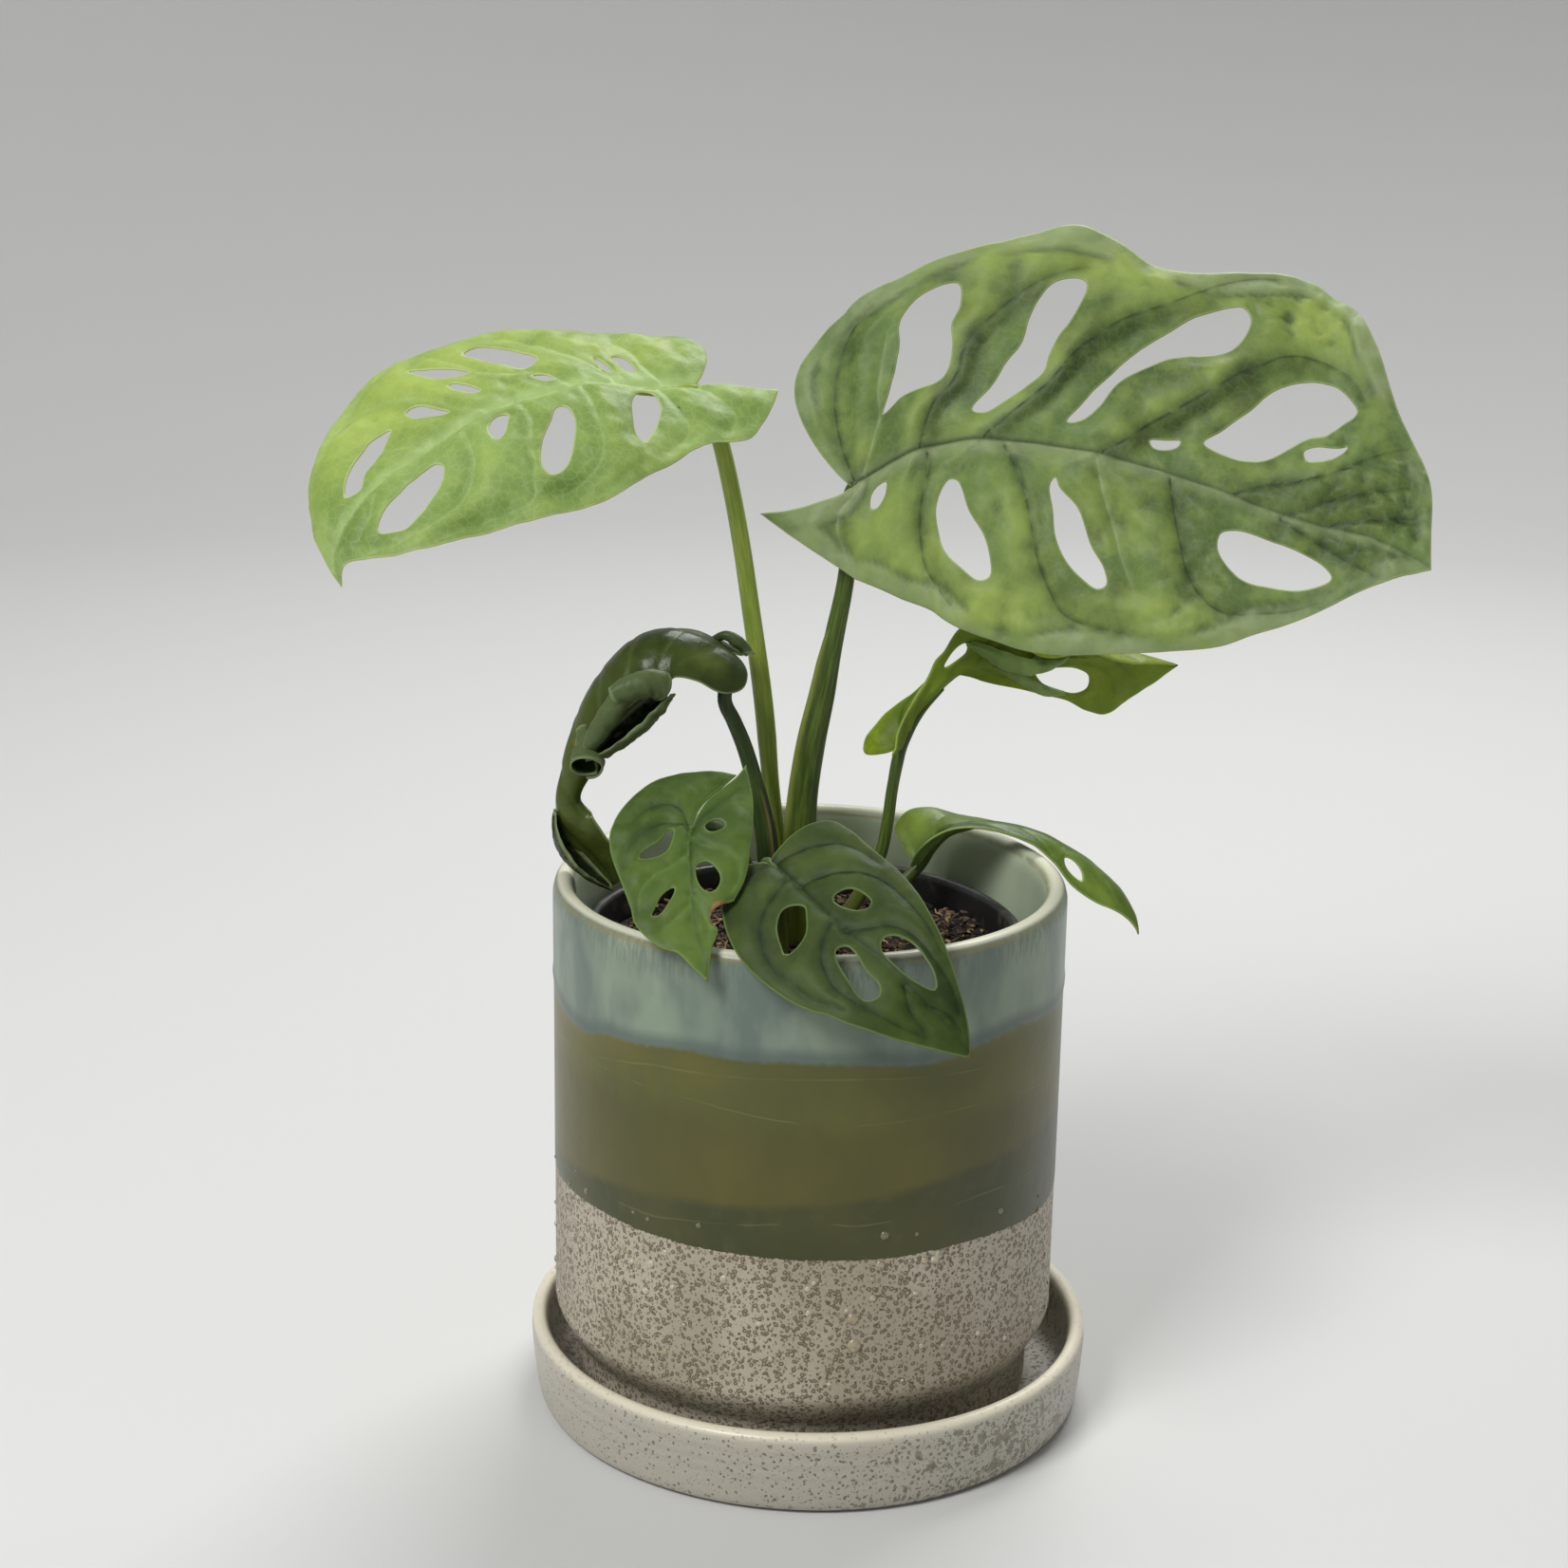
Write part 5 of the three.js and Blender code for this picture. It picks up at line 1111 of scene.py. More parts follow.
curled_outline = [
    [(0, 0), (-3, 2.5), (-5, 6.5), (-4.5, 11), (-0.5, 14), (6, 14.5), (12, 15), (16.5, 15.5)],
    [(16.5, 15.5), (21, 16.5), (27, 17), (35, 16.5), (44, 15.5), (51.5, 14)],
    [(51.5, 14), (52, 8.5), (54, 6), (56, 8.5), (56.5, 14)],
    [(56.5, 14), (57, 20.5), (60, 21.5), (64.5, 16.5), (69, 12.5), (74, 10), (80, 9.5), (87, 8.5),
     (94, 6.5), (100, 3)],
    [(100, 3), (101, 0), (99, -3.5), (93, -6.5), (86, -9), (79, -9.5), (73, -8.5), (69, -8.5), (63, -12),
     (56, -17), (48, -20.5), (38, -21.5), (28, -21), (18, -19), (10, -15), (5, -13.5), (0, -12.5),
     (-3, -10), (-4, -6), (-2.5, -2), (0, 0)],
]
curled_veins = [
    [(4, 1), (6, 5), (10, 9), (14, 12)],
    [(14, 1), (17, 6), (22, 12), (24, 16)],
    [(26, 1), (29, 6), (34, 12), (38, 16)],
    [(38, 1), (41, 5), (46, 10), (49, 15)],
    [(52, 1), (55, 4), (60, 9), (63, 14)],
    [(64, 1), (68, 4), (74, 7), (80, 8)],
    [(4, -1), (6, -6), (8, -12), (10, -15)],
    [(14, -1), (18, -6), (23, -12), (29, -17)],
    [(26, -1), (30, -6), (36, -13), (43, -18)],
    [(38, -1), (42, -6), (47, -12), (53, -17)],
    [(50, -1), (54, -5), (59, -9), (64, -10)],
    [(64, -1), (68, -3), (74, -6), (80, -8)],
]
curled_skin = leaf_skin(
    "curled_leaf", deep=(38, 50, 14), fresh=(52, 66, 22), sun=(94, 106, 46),
    shade=(22, 34, 12), vein=(78, 96, 50), rim=(150, 166, 118), below=(90, 105, 68),
    shine=0.32, glow=0.02, net=0.04, mottle_and_painted_light=0.35)
blade(
    "curled_old_leaf", "leaf_curled", curled_skin, curled_lay, curled_outline, [],
    curled_veins, grid=1.15, squeeze=2.0, puff=0.3, groove=0.25, crumple=0.3, wave=0.2, rib=0.7, seed=3.0,
    sunlit=[(60, 4, 30, 6, 0.35), (80, 2, 20, 6, 0.5), (7, 8, 6, 3, 0.6), (45, 2, 10, 5, 0.4)],
    shaded=[(80, -8, 20, 5, 0.8), (60, -12, 12, 5, 0.6), (16, 3, 12, 4, 0.5), (-2, 8, 3, 5, 0.7)],
    dry=[(55, 8, 3.5, 4, 1.0), (52, 14, 3, 4, 0.8), (90, -7, 8, 1.5, 0.8)])


def scroll(course, turned_from, turned_to, inner=0.6, thick=0.5, dark=0.0, seed=0):
    """Rolled margin: a sheet wound round a course of x, y, z and radius, which runs up or to the right.
    Its winding goes from one angle to another: 0 degrees faces the front, 90 the outside of the bow."""
    line = spaced(course, False, 0.55)
    centre, radius = line[:, :3], np.maximum(line[:, 3], 0.3)
    run = unit(np.gradient(centre, axis=0))
    ahead = np.array((0, -1.0, 0))
    front = unit(ahead - run * (run @ ahead)[:, None])
    beyond = np.cross(front, run)
    winding = turned_to - turned_from
    steps = int(abs(winding) / 7) + 1
    along = np.r_[0, np.cumsum(np.linalg.norm(np.diff(centre, axis=0), axis=1))]
    points, arc, under = [], [], []
    for outside in (1, 0):
        for k in range(steps + 1) if outside else range(steps, -1, -1):
            share = k / steps
            size = radius * (1 - (1 - inner) * share ** 1.3)
            ripple = np.array([noise.noise((a * 0.35, share * 4, seed))
                               + 0.45 * noise.noise((a * 0.8, share * 10, seed + 7)) for a in along])
            size = size * (1 + 0.16 * ripple)
            thinned = min(1, 4 * share + 0.3, 4 * (1 - share) + 0.3)
            size -= (1 - outside) * thick * thinned
            ragged = min(2.2, 0.1 * along[-1]) * noise.noise((share * 4.0, seed, 2.0))
            drawn = centre + run * ragged * (np.linspace(-1, 1, len(line)) ** 3)[:, None]
            angle = math.radians(turned_from + winding * share)
            points.append(drawn + size[:, None] * (math.cos(angle) * front + math.sin(angle) * beyond))
            arc.append(np.full(len(line), share * abs(math.radians(winding)) * radius.mean()))
            under.append(np.full(len(line), outside))
    around, length = 2 * steps + 2, len(line)
    faces = []
    for k in range(around):
        low, high = k * length, (k + 1) % around * length
        faces += [(low + i, low + i + 1, high + i + 1, high + i) for i in range(length - 1)]
    for k in range(steps):
        corners = [row * length for row in (k, k + 1, around - 2 - k, around - 1 - k)]
        faces += [tuple(corners), tuple(corner + length - 1 for corner in corners[::-1])]
    points, arc, under = np.vstack(points), np.concatenate(arc), np.concatenate(under)
    along = np.tile(along, around)
    edge = np.minimum(np.minimum(along, along.max() - along), np.minimum(arc, arc.max() - arc))
    swell = np.array([noise.noise((a / 3, b / 3, seed + 3)) for a, b in zip(arc, along)])
    # Painted shade: the inner face of each roll takes the shade colour, and dark lays painted shade over
    # the outer face too.
    layers = {
        "flat": np.column_stack([along / 1000, arc / 1000, np.full(len(arc), 0.05 + seed / 100)]),
        "edge": edge * 0.45,
        "swell": np.clip(0.5 + swell, 0, 1),
        "under": under * (1 - dark),
        "vein": 0.6 * fade(np.sin(along * 0.75 + arc * 0.35), 0.12) * under,
        "shaded": np.clip(1 - under + dark, 0, 1),
    }
    return points, faces, layers


def rolled_margins(name, node, material, rolls):
    """Several scrolls as one piece."""
    points, faces, layers = [], [], {}
    for roll_points, roll_faces, roll_layers in rolls:
        faces += [tuple(len(points) + k for k in face) for face in roll_faces]
        points += roll_points.tolist()
        for layer, values in roll_layers.items():
            layers.setdefault(layer, []).append(values)
    layers = {layer: np.concatenate(values) for layer, values in layers.items()}
    return piece(name, points, faces, node, material, layers)


rolled_margins("curled_leaf_scrolls", "leaf_curled", curled_skin, [
    scroll([(-54.8, -17.5, 177.6, 2.2), (-52.8, -18.6, 181.6, 3.0), (-50.2, -19.2, 186, 3.2),
            (-47.6, -19.2, 190.2, 3.3), (-46.4, -19, 192.4, 3.2)], -170, 320, 0.45, seed=1),
    scroll([(-48.6, -20.2, 191.4, 2.9), (-45.5, -20.2, 193.2, 3.5), (-42, -19.6, 194.4, 3.9),
            (-38.6, -18.4, 194.4, 4.2), (-36.6, -17.2, 193.6, 4.1)], -165, 300, 0.5, seed=2),
    scroll([(-55.2, -16, 176, 2.4), (-51, -17.3, 179.2, 3.9), (-46, -17.1, 183.8, 4.9),
            (-41, -15.9, 188.2, 4.7), (-36.4, -14.3, 191.8, 3.4)], -190, -22, 1.0, seed=3),
    scroll([(-55.4, -19.4, 173.0, 4.5), (-55.4, -16.6, 175.1, 4.1), (-55.4, -13.4, 177.7, 3.1),
            (-56.8, -10.6, 180.6, 1.7)], -180, 235, 0.75, seed=4),
    # Painted shade: this flap and the small roll by the stalk are darkened through dark.
    scroll([(-49.6, -2.8, 136.8, 0.7), (-52.8, -4.2, 140, 2.1), (-57, -5.8, 144.4, 3.1),
            (-60.6, -6.6, 149.8, 3.1), (-62.8, -6.8, 154.6, 2.1), (-63.4, -6.4, 158, 0.8)],
           12, 200, 1.0, dark=0.9, seed=5),
    scroll([(-25.2, 1.2, 200.8, 0.9), (-22, 0, 202.2, 1.6), (-18.6, -0.6, 200.6, 2.0),
            (-16, -0.6, 197.8, 1.5)], -200, 210, 0.5, dark=0.4, seed=6),
])
curled_stalk_skin = stalk_skin(
    "dark_stalk", (58, 78, 28), (36, 52, 16), (80, 86, 40), (134, 110, 70))
stalk(
    "curled_leaf_stalk", "stalk_curled", curled_stalk_skin, curled_lay,
    [(-10, 0.5, 124.5, 2.9), (-11.1, -1, 147.5, 2.9), (-12.3, -1, 156, 2.8), (-13.5, -1.5, 161.5, 2.4),
     (-15, -1.5, 167.5, 2.1), (-17.3, -2, 175, 2), (-19.8, -2, 181, 1.9), (-22, -2.4, 186, 1.8)],
    1.6, wings=[(300, 163, 0.9, 14), (30, 160, 0.9, 14)])


# The small front left leaf and its stalk. A fresh young blade that hangs over towards the front, torn
# and dry along part of its right margin.
hanging_lay = Lay(
    [(-29, -38, 164), (-29.5, -42, 161), (-29, -49, 155), (-28.5, -54, 151), (-27.5, -60, 145.5),
     (-25.5, -65, 141.5), (-24, -69, 137)],
    (0, -0.75, 0.66), 0.3,
    [(0, 0, -6, 8, -6, 8), (1, 0, 0, 8, 0, 8)])
hanging_outline = [
    [(0, 0), (-7.5, 3.2), (-12.5, 7.4), (-15.5, 10), (-19, 12)],
    [(-19, 12), (-14.5, 13.2), (-9.5, 14.3), (2.5, 14.8), (11.5, 14.3), (17, 12.6), (21.5, 10.3)],
    [(21.5, 10.3), (23, 6.3), (24.5, 4.8), (26.5, 4.5), (29.5, 5.7), (31.8, 4.6), (34, 3), (38.7, 1.2),
     (42.7, 0)],
    [(42.7, 0), (37, -3.6), (33.3, -5.5), (31, -8.5), (25.2, -13.4), (21, -14.2), (12, -16.7), (3.5, -19),
     (-2, -18), (-6.5, -15.5), (-12, -10.5), (-14.5, -6), (-16, -1.5), (-16.6, 4), (-15.9, 9.9)],
    [(-15.9, 9.9), (-12.3, 7), (-7.5, 3), (-3.1, 0.9), (0, 0)],
]
hanging_holes = [
    [(1, -5), (1.3, -4), (4.3, -4), (7, -5), (8.6, -9), (8, -11.7), (6.3, -10), (4.4, -6.8)],
    [(-2.3, 6), (-1.3, 8), (0, 8), (1.2, 6), (1.3, 4.3), (-0.5, 3.4)],
    [(10.5, 4), (11.2, 5.3), (13.6, 7), (15.7, 7.3), (18.3, 6.2), (19, 4.8), (17.5, 2.9), (14.5, 1.8),
     (11.4, 2)],
    [(17, -3.6), (18.3, -3.7), (21.3, -5.4), (23.7, -7.3), (24, -9.3), (21.8, -8.3), (18.7, -6.4)],
]
hanging_veins = [
    [(0.5, 0.5), (-4, 3.5), (-8, 7.5), (-12, 11)],
    [(3, 0.8), (5, 4), (7, 8), (10, 11), (15, 12), (19, 10)],
    [(19, 0.5), (23, 2.2), (28, 3.8), (33, 3)],
    [(0.5, -0.5), (-4.5, -3), (-5.6, -7), (-4, -11), (0, -14.5)],
    [(-0.5, -2), (-0.5, -6.5), (2.5, -11), (6.5, -14.5), (10, -15.5)],
    [(8, -0.5), (11, -4), (13, -8), (17, -11.5), (23, -12.5)],
    [(22, -0.5), (25, -3.5), (28, -7.5)],
]
front_leaf = leaf_skin(
    "front_leaf", deep=(50, 72, 26), fresh=(68, 91, 34), sun=(104, 126, 48),
    shade=(34, 56, 20), vein=(94, 122, 58), rim=(122, 146, 78), below=(104, 132, 72),
    shine=0.5, glow=0.04, net=0.07)
blade(
    "small_hanging_leaf", "leaf_front_left", front_leaf, hanging_lay, hanging_outline,
    hanging_holes, hanging_veins, grid=0.85, puff=0.9, groove=0.5, crumple=0.5, wave=0.6, rib=0.7, seed=4.0,
    band=0.2, ridge=(0.3, 0.3, 0, 0.6, 0.5, 0.3, 0.2), dark=(0, 3, 4), crumb=3.4,
    sunlit=[(26, 0, 14, 9, 0.45), (10, 11, 10, 4, 0.3)],
    shaded=[(-5, -7, 3, 6, 0.5), (2, -10, 3, 4, 0.5), (2, 1.5, 8, 1.5, 0.6), (-10, -8, 6, 10, 0.35)],
    dry=[(23.2, 7.2, 1.8, 2.4, 1.1), (26, 5, 3, 1.0, 1.0), (42.5, 0, 1, 1, 0.8)])
small_stalk_skin = stalk_skin(
    "slim_stalk", (88, 108, 40), (58, 78, 26), (104, 112, 50), (136, 128, 78))
stalk(
    "small_hanging_stalk", "stalk_front_left", small_stalk_skin, hanging_lay,
    [(-13.5, -8, 124.5, 1.8), (-14.5, -13, 142, 1.7), (-19.5, -23, 156, 1.6), (-25.5, -33, 162.6, 1.5)],
    1.3, wings=[(200, 146, 0.4, 16)], knee=5, sides=28)


# The small front centre leaf and its stalk. A dark, glossy blade whose side veins sweep round along its
# margins; it hangs over the front of the rim with its tip down to the right.
tipped_lay = Lay(
    [(-10.5, -42, 157), (-3, -52, 152.8), (3.5, -60, 149.1), (9, -66, 146), (15.5, -71, 143),
     (22, -75.5, 138), (28.5, -78, 132), (36.5, -80, 123)],
    (0.05, -0.8, 0.6), 0.3,
    [(0, 0, -4, 7, -8, 7), (0.4, 0, -2, 7, -4, 7), (1, 0, 0, 8, 0, 8)])
tipped_outline = [
    [(0, 0), (-1, 4), (-2, 10), (-1, 16), (1.5, 19), (6.7, 20.4), (15.5, 20.8), (24.5, 21.2), (36, 19.5),
     (43, 16.3), (50.5, 13.3), (57, 10), (67.7, 3.8), (72.8, 0)],
    [(72.8, 0), (67.7, -4), (58, -10.5), (52, -13.7), (47, -16.5), (37.5, -19.3), (31, -21), (24, -21.8),
     (16.7, -21.4), (9, -19.2), (3, -16), (-2, -11), (-3, -6), (-1.5, -2.5), (0, 0)],
]
tipped_holes = [
    [(20.3, 6), (20.9, 8.6), (23.3, 10.2), (28, 10.3), (29, 8.8), (27.5, 6.3), (23.3, 4.3), (21, 4.4)],
    [(38.7, 5.2), (40.3, 7), (44, 8.3), (48.7, 7.8), (52.8, 6.6), (55.5, 4.2), (49.8, 2), (45.2, 1.6),
     (41.3, 1.8), (39.4, 3)],
    [(17.3, -1.9), (20.7, -3.6), (24.2, -6.6), (25.6, -10.2), (25.1, -13.3), (22.3, -12.5), (17.2, -9.6),
     (14.8, -5.7)],
    [(33.3, -1.9), (35.5, -1.9), (41.5, -4.3), (46.5, -4.7), (48, -6.4), (47.2, -9), (45.2, -9.7),
     (35.2, -6.6), (32.3, -4)],
]
tipped_midrib = [(0, 0.5), (20, 0.6), (45, 0.2), (60, -0.2), (72.8, 0)]
tipped_veins = [
    [(2, 1.2), (2.8, 5), (4.5, 10.5), (8, 15.3), (13, 17.8), (20, 19)],
    [(12, 1.2), (13.5, 6), (16, 10.5), (20, 14.2), (26, 16.4), (33, 16.4), (41, 14.8), (50, 11.8)],
    [(30, 1), (34, 5), (38, 8.6), (43, 9.9), (50, 9.3), (57, 7.8), (63, 5)],
    [(57, 0.5), (62, 2.4), (67, 2)],
    [(1, -0.5), (0.6, -5), (1.5, -11), (5, -16), (10, -18.5)],
    [(8, -0.5), (10, -5), (12, -9.5), (16, -14), (22, -17), (29, -17.8), (37, -16.8), (45, -14.8)],
    [(26, -0.5), (29, -5.5), (33, -9.3), (38, -11.8), (43, -12), (49, -10.3), (56, -8), (63, -5)],
    [(50, -0.5), (55, -3.6), (61, -4.6)],
]
dark_leaf = leaf_skin(
    "dark_leaf", deep=(39, 55, 17), fresh=(54, 72, 25), sun=(84, 102, 42),
    shade=(18, 32, 11), vein=(56, 80, 36), rim=(122, 144, 86), below=(94, 118, 68),
    shine=0.55, glow=0.03, net=0.06, mottle_and_painted_light=0.5)
blade(
    "small_tipped_leaf", "leaf_front_centre", dark_leaf, tipped_lay, tipped_outline,
    tipped_holes, tipped_veins, midrib=tipped_midrib, grid=0.95, puff=0.9, groove=0.6, crumple=0.35,
    wave=0.6, rib=0.8, seed=5.0, band=0.2, ridge=(0.3, 0.6, 0.5, 0.2, 0.3, 0.7, 0.7, 0.2),
    dark=(0, 1, 2, 3, 4, 5, 6, 7), crumb=3.6,
    sunlit=[(14, 13, 8, 4, 0.3), (30, -14, 14, 3, 0.4), (56, -8, 10, 3, 0.35), (8, 5, 5, 4, 0.2)],
    shaded=[(60, 5, 9, 3, 0.7), (16, -14.5, 8, 3, 0.5), (24, 3, 8, 2, 0.4), (2, -8, 3, 8, 0.5)],
    dry=[(44, -5, 2.4, 0.7, 0.9), (72.5, 0, 1, 1, 0.9)])
stalk(
    "small_tipped_stalk", "stalk_front_centre", small_stalk_skin, tipped_lay,
    [(-7, -11, 124.5, 1.9), (-8, -16, 138, 1.8), (-9.5, -26, 149.3, 1.7), (-10.8, -35.5, 154.2, 1.6)],
    1.4, wings=[(190, 142, 0.4, 16)], knee=5, sides=28)


# The twisted leaf behind on the right and its stalk. It was folded round its midrib in the bud and never
# opened: one half stands up and rolls forward, the other hangs and glows yellow with the light behind it.
twisted_lay = Lay(
    [(21.5, 8, 171.5), (23.2, 9, 176.5), (26.5, 11, 181.5), (31, 13, 186), (35, 15, 189.5), (41.5, 17, 192),
     (49, 19, 192.5), (59, 21, 193), (71, 23, 193.5), (83.5, 25, 193), (93.5, 26, 190.5)],
    (-0.25, -0.1, 0.95), 0.1,
    [(0, 0, -35, 0, -35, 0), (0.15, 0, -10, 0, -70, 0), (0.25, 0, 0, 0, -80, 0, 99, 0, 9, 30),
     (0.36, 0, 40, 10, -85, 0, 99, 0, 9, 60), (0.5, 0, 65, 5, -70, 0, 99, 0, 6, 140),
     (0.68, 0, 68, 4, -40, 10, 99, 0, 6, 60), (0.8, 0, 68, 4, -15, 20, 99, 0, 6, 20),
     (1, 0, 60, 0, 0, 10, 99, 0, 6, 10)])
twisted_outline = [
    [(0, 0), (-2.5, 3), (-4.5, 8), (-1.5, 9.5), (6, 8), (14, 6.5), (24, 6.5), (34, 8), (44, 10), (50, 12),
     (56, 14.5), (62, 18), (68, 19.5), (74, 16.5), (80, 10), (84.7, 0)],
    [(84.7, 0), (76, -7), (66, -12), (58, -15), (50, -17), (42, -16.5), (34, -13), (28, -10.5), (23, -7),
     (17, -4.5), (10, -3.8), (3, -5), (-1.5, -5.5), (-2, -2.5), (0, 0)],
]
twisted_holes = [
    [(23, -3.2), (25, -2.6), (29, -3.8), (29.5, -6.2), (26, -5.4)],
    [(47, 4), (52, 3.5), (58, 4.5), (61.5, 7), (61.5, 11), (58, 12.5), (53, 10.5), (49, 8)],
]
twisted_veins = [
    [(4, 1), (7, 3), (12, 5), (18, 6)],
    [(16, 1), (20, 3), (26, 5), (33, 7)],
    [(29, 1), (34, 3), (40, 6), (48, 10)],
    [(43, 0.7), (46, 2), (50, 2.4), (60, 3), (68, 8), (70, 14)],
    [(66, 0.7), (70, 4), (75, 8)],
    [(6, -1), (11, -2.5), (17, -3.6)],
    [(18, -1), (24, -1.6), (31, -3.4), (36, -8), (42, -13)],
    [(31, -1), (37, -5), (44, -11), (50, -15)],
    [(45, -1), (51, -5), (57, -10), (64, -12)],
    [(60, -1), (66, -4), (72, -8)],
]
# Painted light: these bright yellow colours paint in the glow of the light behind the hanging half, over
# the leaf's own yellow-green.
twisted_skin = leaf_skin(
    "twisted_leaf", deep=(86, 112, 12), fresh=(120, 146, 16), sun=(160, 174, 34),
    shade=(48, 70, 10), vein=(78, 100, 24), rim=(170, 184, 100), below=(112, 132, 40),
    shine=0.45, glow=0.15, net=0.35, mottle_and_painted_light=0.6)
blade(
    "twisted_back_leaf", "leaf_back_twisted", twisted_skin, twisted_lay, twisted_outline,
    twisted_holes, twisted_veins, grid=0.9, puff=0.5, groove=0.3, crumple=0.4, wave=0.6, rib=0.8, seed=6.0,
    dark=(0, 1, 2, 3, 4, 6, 7, 8, 9),
    sunlit=[(45, 8, 16, 8, 0.5), (60, -8, 20, 6, 0.4)],
    shaded=[(8, 4, 14, 4, 0.7), (8, -3, 14, 2, 0.5), (72, 8, 8, 6, 0.3)],
    dry=[(84.5, 0, 1.2, 1.2, 0.8)])
# Painted light: the rolls lie in the shadow of the large right leaf, and these colours are painted lighter
# against it.
rolled_skin = leaf_skin(
    "rolled_margin", deep=(112, 142, 64), fresh=(136, 166, 78), sun=(164, 186, 96),
    shade=(70, 94, 34), vein=(138, 152, 104), rim=(164, 178, 120), below=(112, 130, 84),
    shine=0.5, glow=0.08, net=0.1, mottle_and_painted_light=0.6)
rolled_margins("twisted_leaf_rolls", "leaf_back_twisted", rolled_skin, [
    scroll([(39.2, 15.4, 197.4, 0.8), (43.6, 14, 195.9, 1.7), (48.4, 13.4, 193.6, 2.4),
            (54.5, 13.6, 192.1, 2.3), (60, 16.5, 192.3, 1.7), (65, 21.4, 193.2, 0.7)],
           -110, 75, 1.0, thick=0.45, seed=7),
    scroll([(46.6, 15, 191.4, 0.5), (50, 14.2, 190.2, 1.2), (54.5, 15.5, 187.7, 1.5),
            (59, 19.5, 184.5, 1.5), (64.5, 26.2, 182.2, 0.6)], -110, 80, 1.0, thick=0.4, seed=8),
])
stalk(
    "twisted_leaf_stalk", "stalk_back_twisted", small_stalk_skin, twisted_lay,
    [(9.5, 11, 124.5, 1.9), (13.5, 9.5, 133, 1.8), (18, 9, 143.5, 1.6), (19.5, 8.5, 152, 1.55),
     (20.5, 8.5, 161, 1.5)],
    1.4, wings=[(150, 141, 0.4, 16)], knee=6, sides=28)


# The small back right leaf and its stalk. A narrow blade that arches up out of the pot, over the right of
# the rim, and hangs outside it, one half pale and turned up towards the light.
arching_lay = Lay(
    [(28, 22, 137), (31, 22.5, 142.2), (35.5, 23.5, 146), (41.3, 25, 147.5), (47.5, 25.5, 147.5),
     (53.8, 25, 146.7), (60, 24, 145), (66.2, 22.5, 141.8), (73.5, 20, 137.3), (80.8, 18, 131.2),
     (84.8, 17, 125), (87, 16, 116.5)],
    (0, 0, 1), 0.2,
    [(0, 0, -45, 0, -35, 3), (0.13, 0, -18, 3, -20, 3), (0.25, 0, 8, 4, 0, 2), (0.52, 0, 14, 4, 26, 4),
     (0.62, 0, 12, 4, 34, 4), (0.8, 0, 10, 4, 38, 4), (1, 0, 10, 4, 30, 4)])
arching_outline = [
    [(0, 0), (-0.5, 3), (0.5, 8), (2, 12.5), (6.5, 14), (12, 12), (20, 9), (34, 8.5), (46, 8), (58, 6.5),
     (68, 3.5), (75.5, 0)],
    [(75.5, 0), (68, -3.5), (60, -7.5), (52, -8.5), (44, -6.5), (36, -5.5), (28, -5.5), (20, -6), (8, -6.5),
     (1, -5), (-1.5, -2), (0, 0)],
]
arching_holes = [
    [(46, -2.6), (48.5, -2), (52, -3.5), (53, -5.5), (50, -5.8), (47, -4.6)],
]
arching_veins = [
    [(1, 1), (2.5, 5), (4, 10)],
    [(8, 1), (11, 5), (17, 9)],
    [(20, 1), (26, 4), (33, 7.5)],
    [(33, 0.7), (40, 3.5), (48, 7)],
    [(46, 0.7), (53, 3), (60, 4.6)],
    [(8, -1), (13, -3), (19, -4.6)],
    [(20, -1), (26, -3), (33, -4.4)],
    [(33, -0.7), (39, -2.6), (43, -4.8)],
    [(44, -0.7), (50, -1.4), (57, -3.6), (60, -5.8)],
    [(58, -0.7), (63, -2.6), (67, -3)],
]
arching_skin = leaf_skin(
    "arching_leaf", deep=(62, 86, 22), fresh=(86, 112, 32), sun=(136, 158, 64),
    shade=(34, 54, 16), vein=(110, 134, 66), rim=(160, 180, 104), below=(122, 150, 76),
    shine=0.4, glow=0.14)
blade(
    "small_arching_leaf", "leaf_back_right", arching_skin, arching_lay, arching_outline,
    arching_holes, arching_veins, grid=0.8, puff=0.4, groove=0.3, crumple=0.2, wave=0.3, rib=0.6, seed=7.0,
    sunlit=[(8, 8, 10, 6, 0.8), (58, -5, 10, 3, 0.4)],
    shaded=[(24, -3, 18, 4, 0.9), (4, -3, 8, 3, 0.6), (34, 4, 16, 5, 0.5)],
    dry=[(75.4, 0, 1.2, 1.2, 0.9)])
stalk(
    "small_arching_stalk", "stalk_back_right", small_stalk_skin, arching_lay,
    [(17.5, 22, 124.5, 1.7), (20, 22, 127.5, 1.6), (23.8, 21.8, 131.2, 1.5)],
    1.4, knee=4, sides=28)


# Floor, light and camera: a pale round cove with soft lamps, seen from the front and a little above.
floor_level, floor_reach, bend, wall_top = -0.2, 1200, 700, 2200
cove_columns = 96
cove_section = [(r, floor_level) for r in (0, 200, 600, floor_reach)]
cove_section += [(floor_reach + bend * math.sin(a), floor_level + bend * (1 - math.cos(a)))
                 for a in np.linspace(0.15, 1.57, 12)]
cove_section += [(floor_reach + bend, wall_top), (floor_reach + bend, wall_top + 1)]
points, faces = turned(cove_section, cove_columns)
cove = bpy.data.meshes.new("pale_cove")
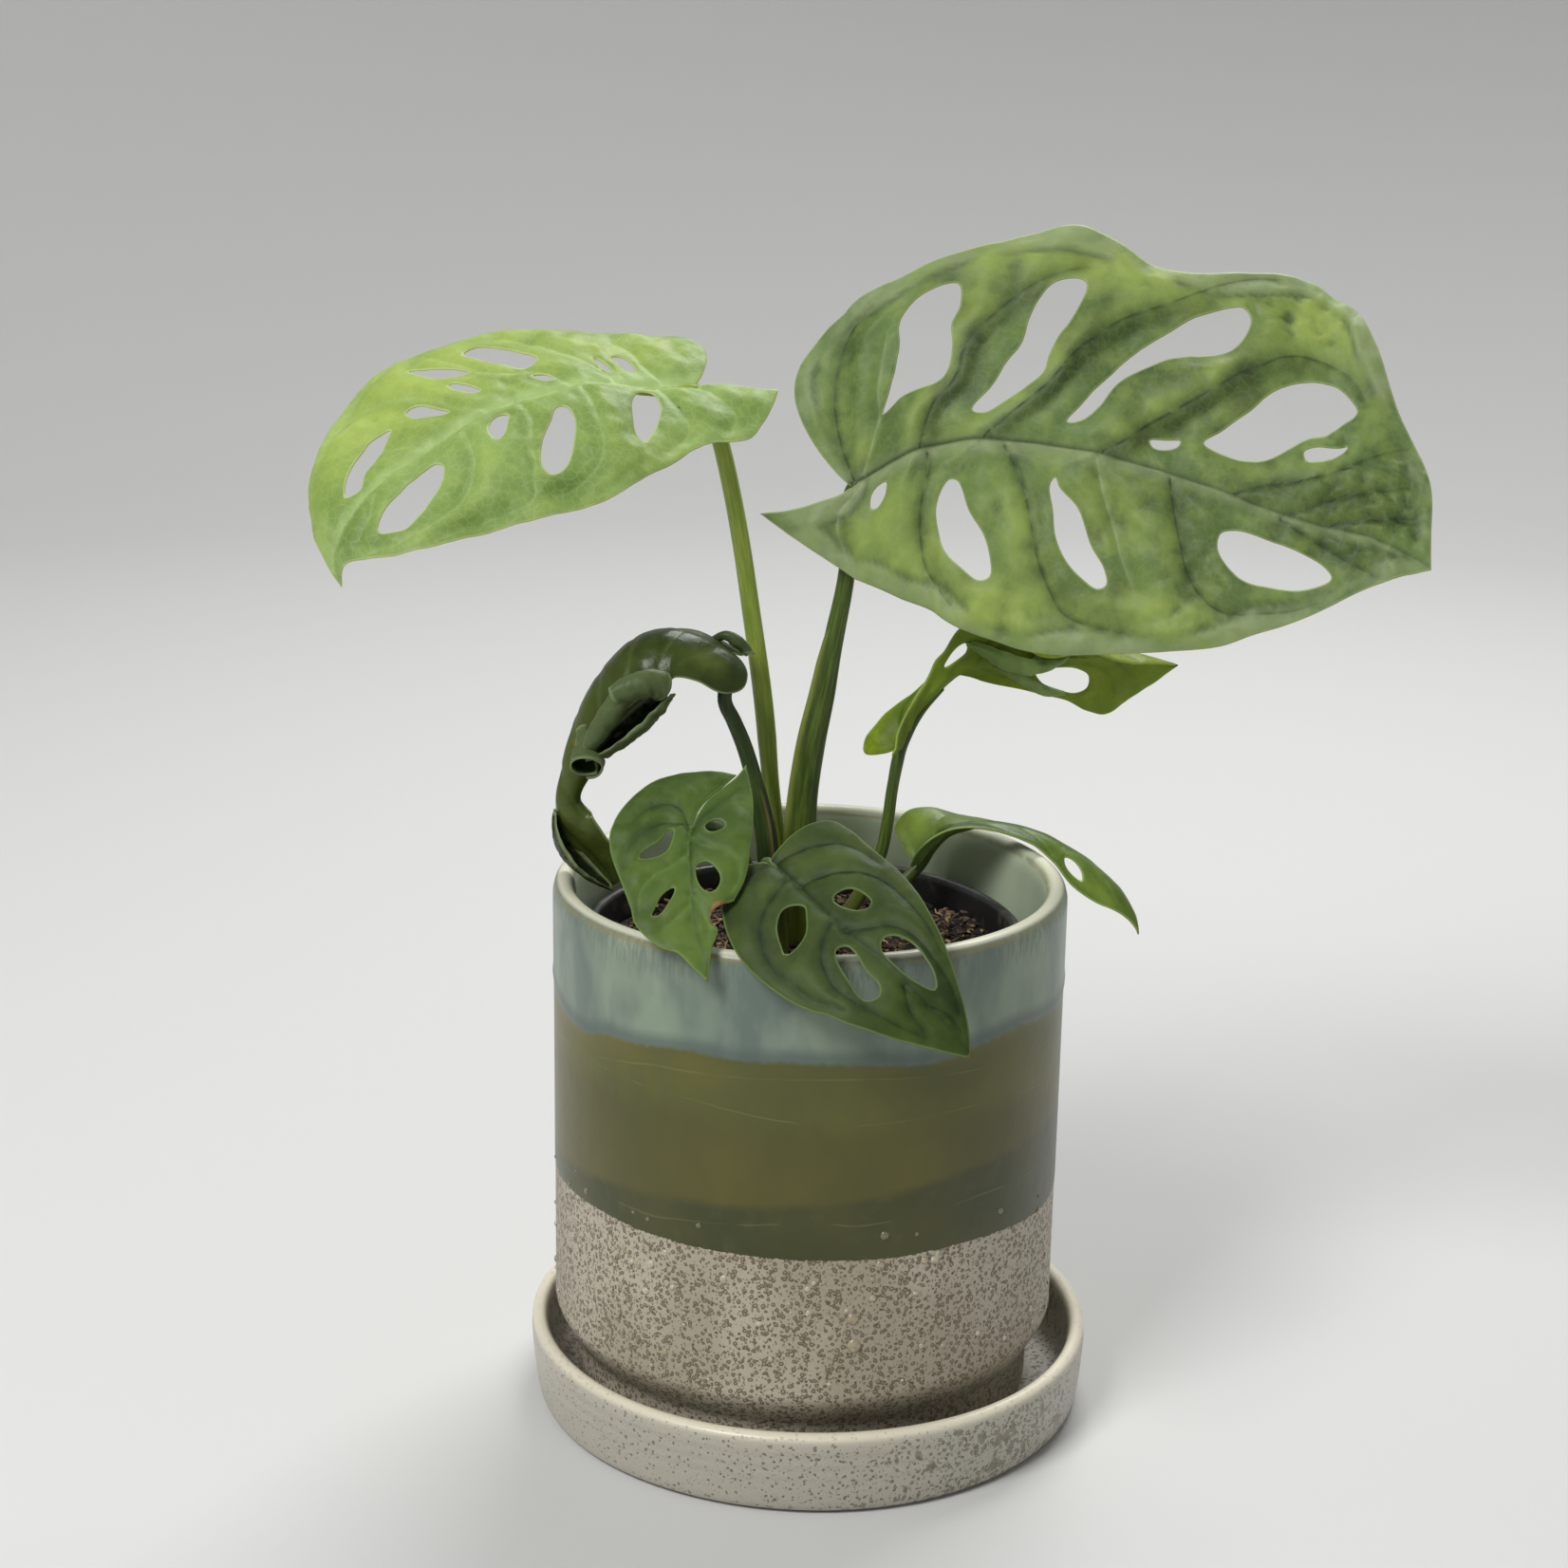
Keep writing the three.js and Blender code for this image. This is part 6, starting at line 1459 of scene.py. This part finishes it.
# Open above, and its faces turned inward.
faces = [(first, *others[::-1]) for first, *others in faces[:-cove_columns]]
cove.from_pydata((points[:-1] / 1000).tolist(), [], faces)
cove.shade_smooth()
paper = Finish("pale_paper", Base_Color=(205, 205, 203), Roughness=0.9)
cove.materials.append(paper.material)
floor = bpy.data.objects.new("pale_cove", cove)
bpy.context.scene.collection.objects.link(floor)

sky = bpy.data.worlds.new("soft_studio")
sky.use_nodes = True
daylight = sky.node_tree.nodes["Background"].inputs
daylight["Color"].default_value = (0.95, 0.97, 1.0, 1.0)
daylight["Strength"].default_value = 0.27
bpy.context.scene.world = sky

middle_of_plant = Vector((0, 0, 0.16))
for name, place, size, watts in (
    ("key_lamp", (-0.65, -0.85, 1.2), 0.5, 17.0),
    ("back_lamp", (0.3, 0.8, 1.25), 0.7, 15.0),
):
    lamp = bpy.data.lights.new(name, "AREA")
    lamp.size = size
    lamp.energy = watts
    lamp_object = bpy.data.objects.new(name, lamp)
    lamp_object.location = place
    lamp_object.rotation_euler = (middle_of_plant - Vector(place)).to_track_quat("-Z", "Y").to_euler()
    bpy.context.scene.collection.objects.link(lamp_object)

pitch, roll = 0.2789, 0.016
looked_at, distance = Vector((-0.007, 0, 0.1641)), 0.729
ahead = Vector((0, math.cos(pitch), -math.sin(pitch)))
level_right = Vector((1, 0, 0))
level_up = Vector((0, math.sin(pitch), math.cos(pitch)))
right = math.cos(roll) * level_right + math.sin(roll) * level_up
up = math.cos(roll) * level_up - math.sin(roll) * level_right
lens = bpy.data.cameras.new("front_camera")
lens.sensor_width = 36
lens.lens = 66.75
camera = bpy.data.objects.new("front_camera", lens)
eye = looked_at - distance * ahead
camera.matrix_world = Matrix((
    (right.x, up.x, -ahead.x, eye.x),
    (right.y, up.y, -ahead.y, eye.y),
    (right.z, up.z, -ahead.z, eye.z),
    (0, 0, 0, 1),
))
bpy.context.scene.collection.objects.link(camera)
bpy.context.scene.camera = camera
bpy.context.scene.view_settings.view_transform = "Standard"
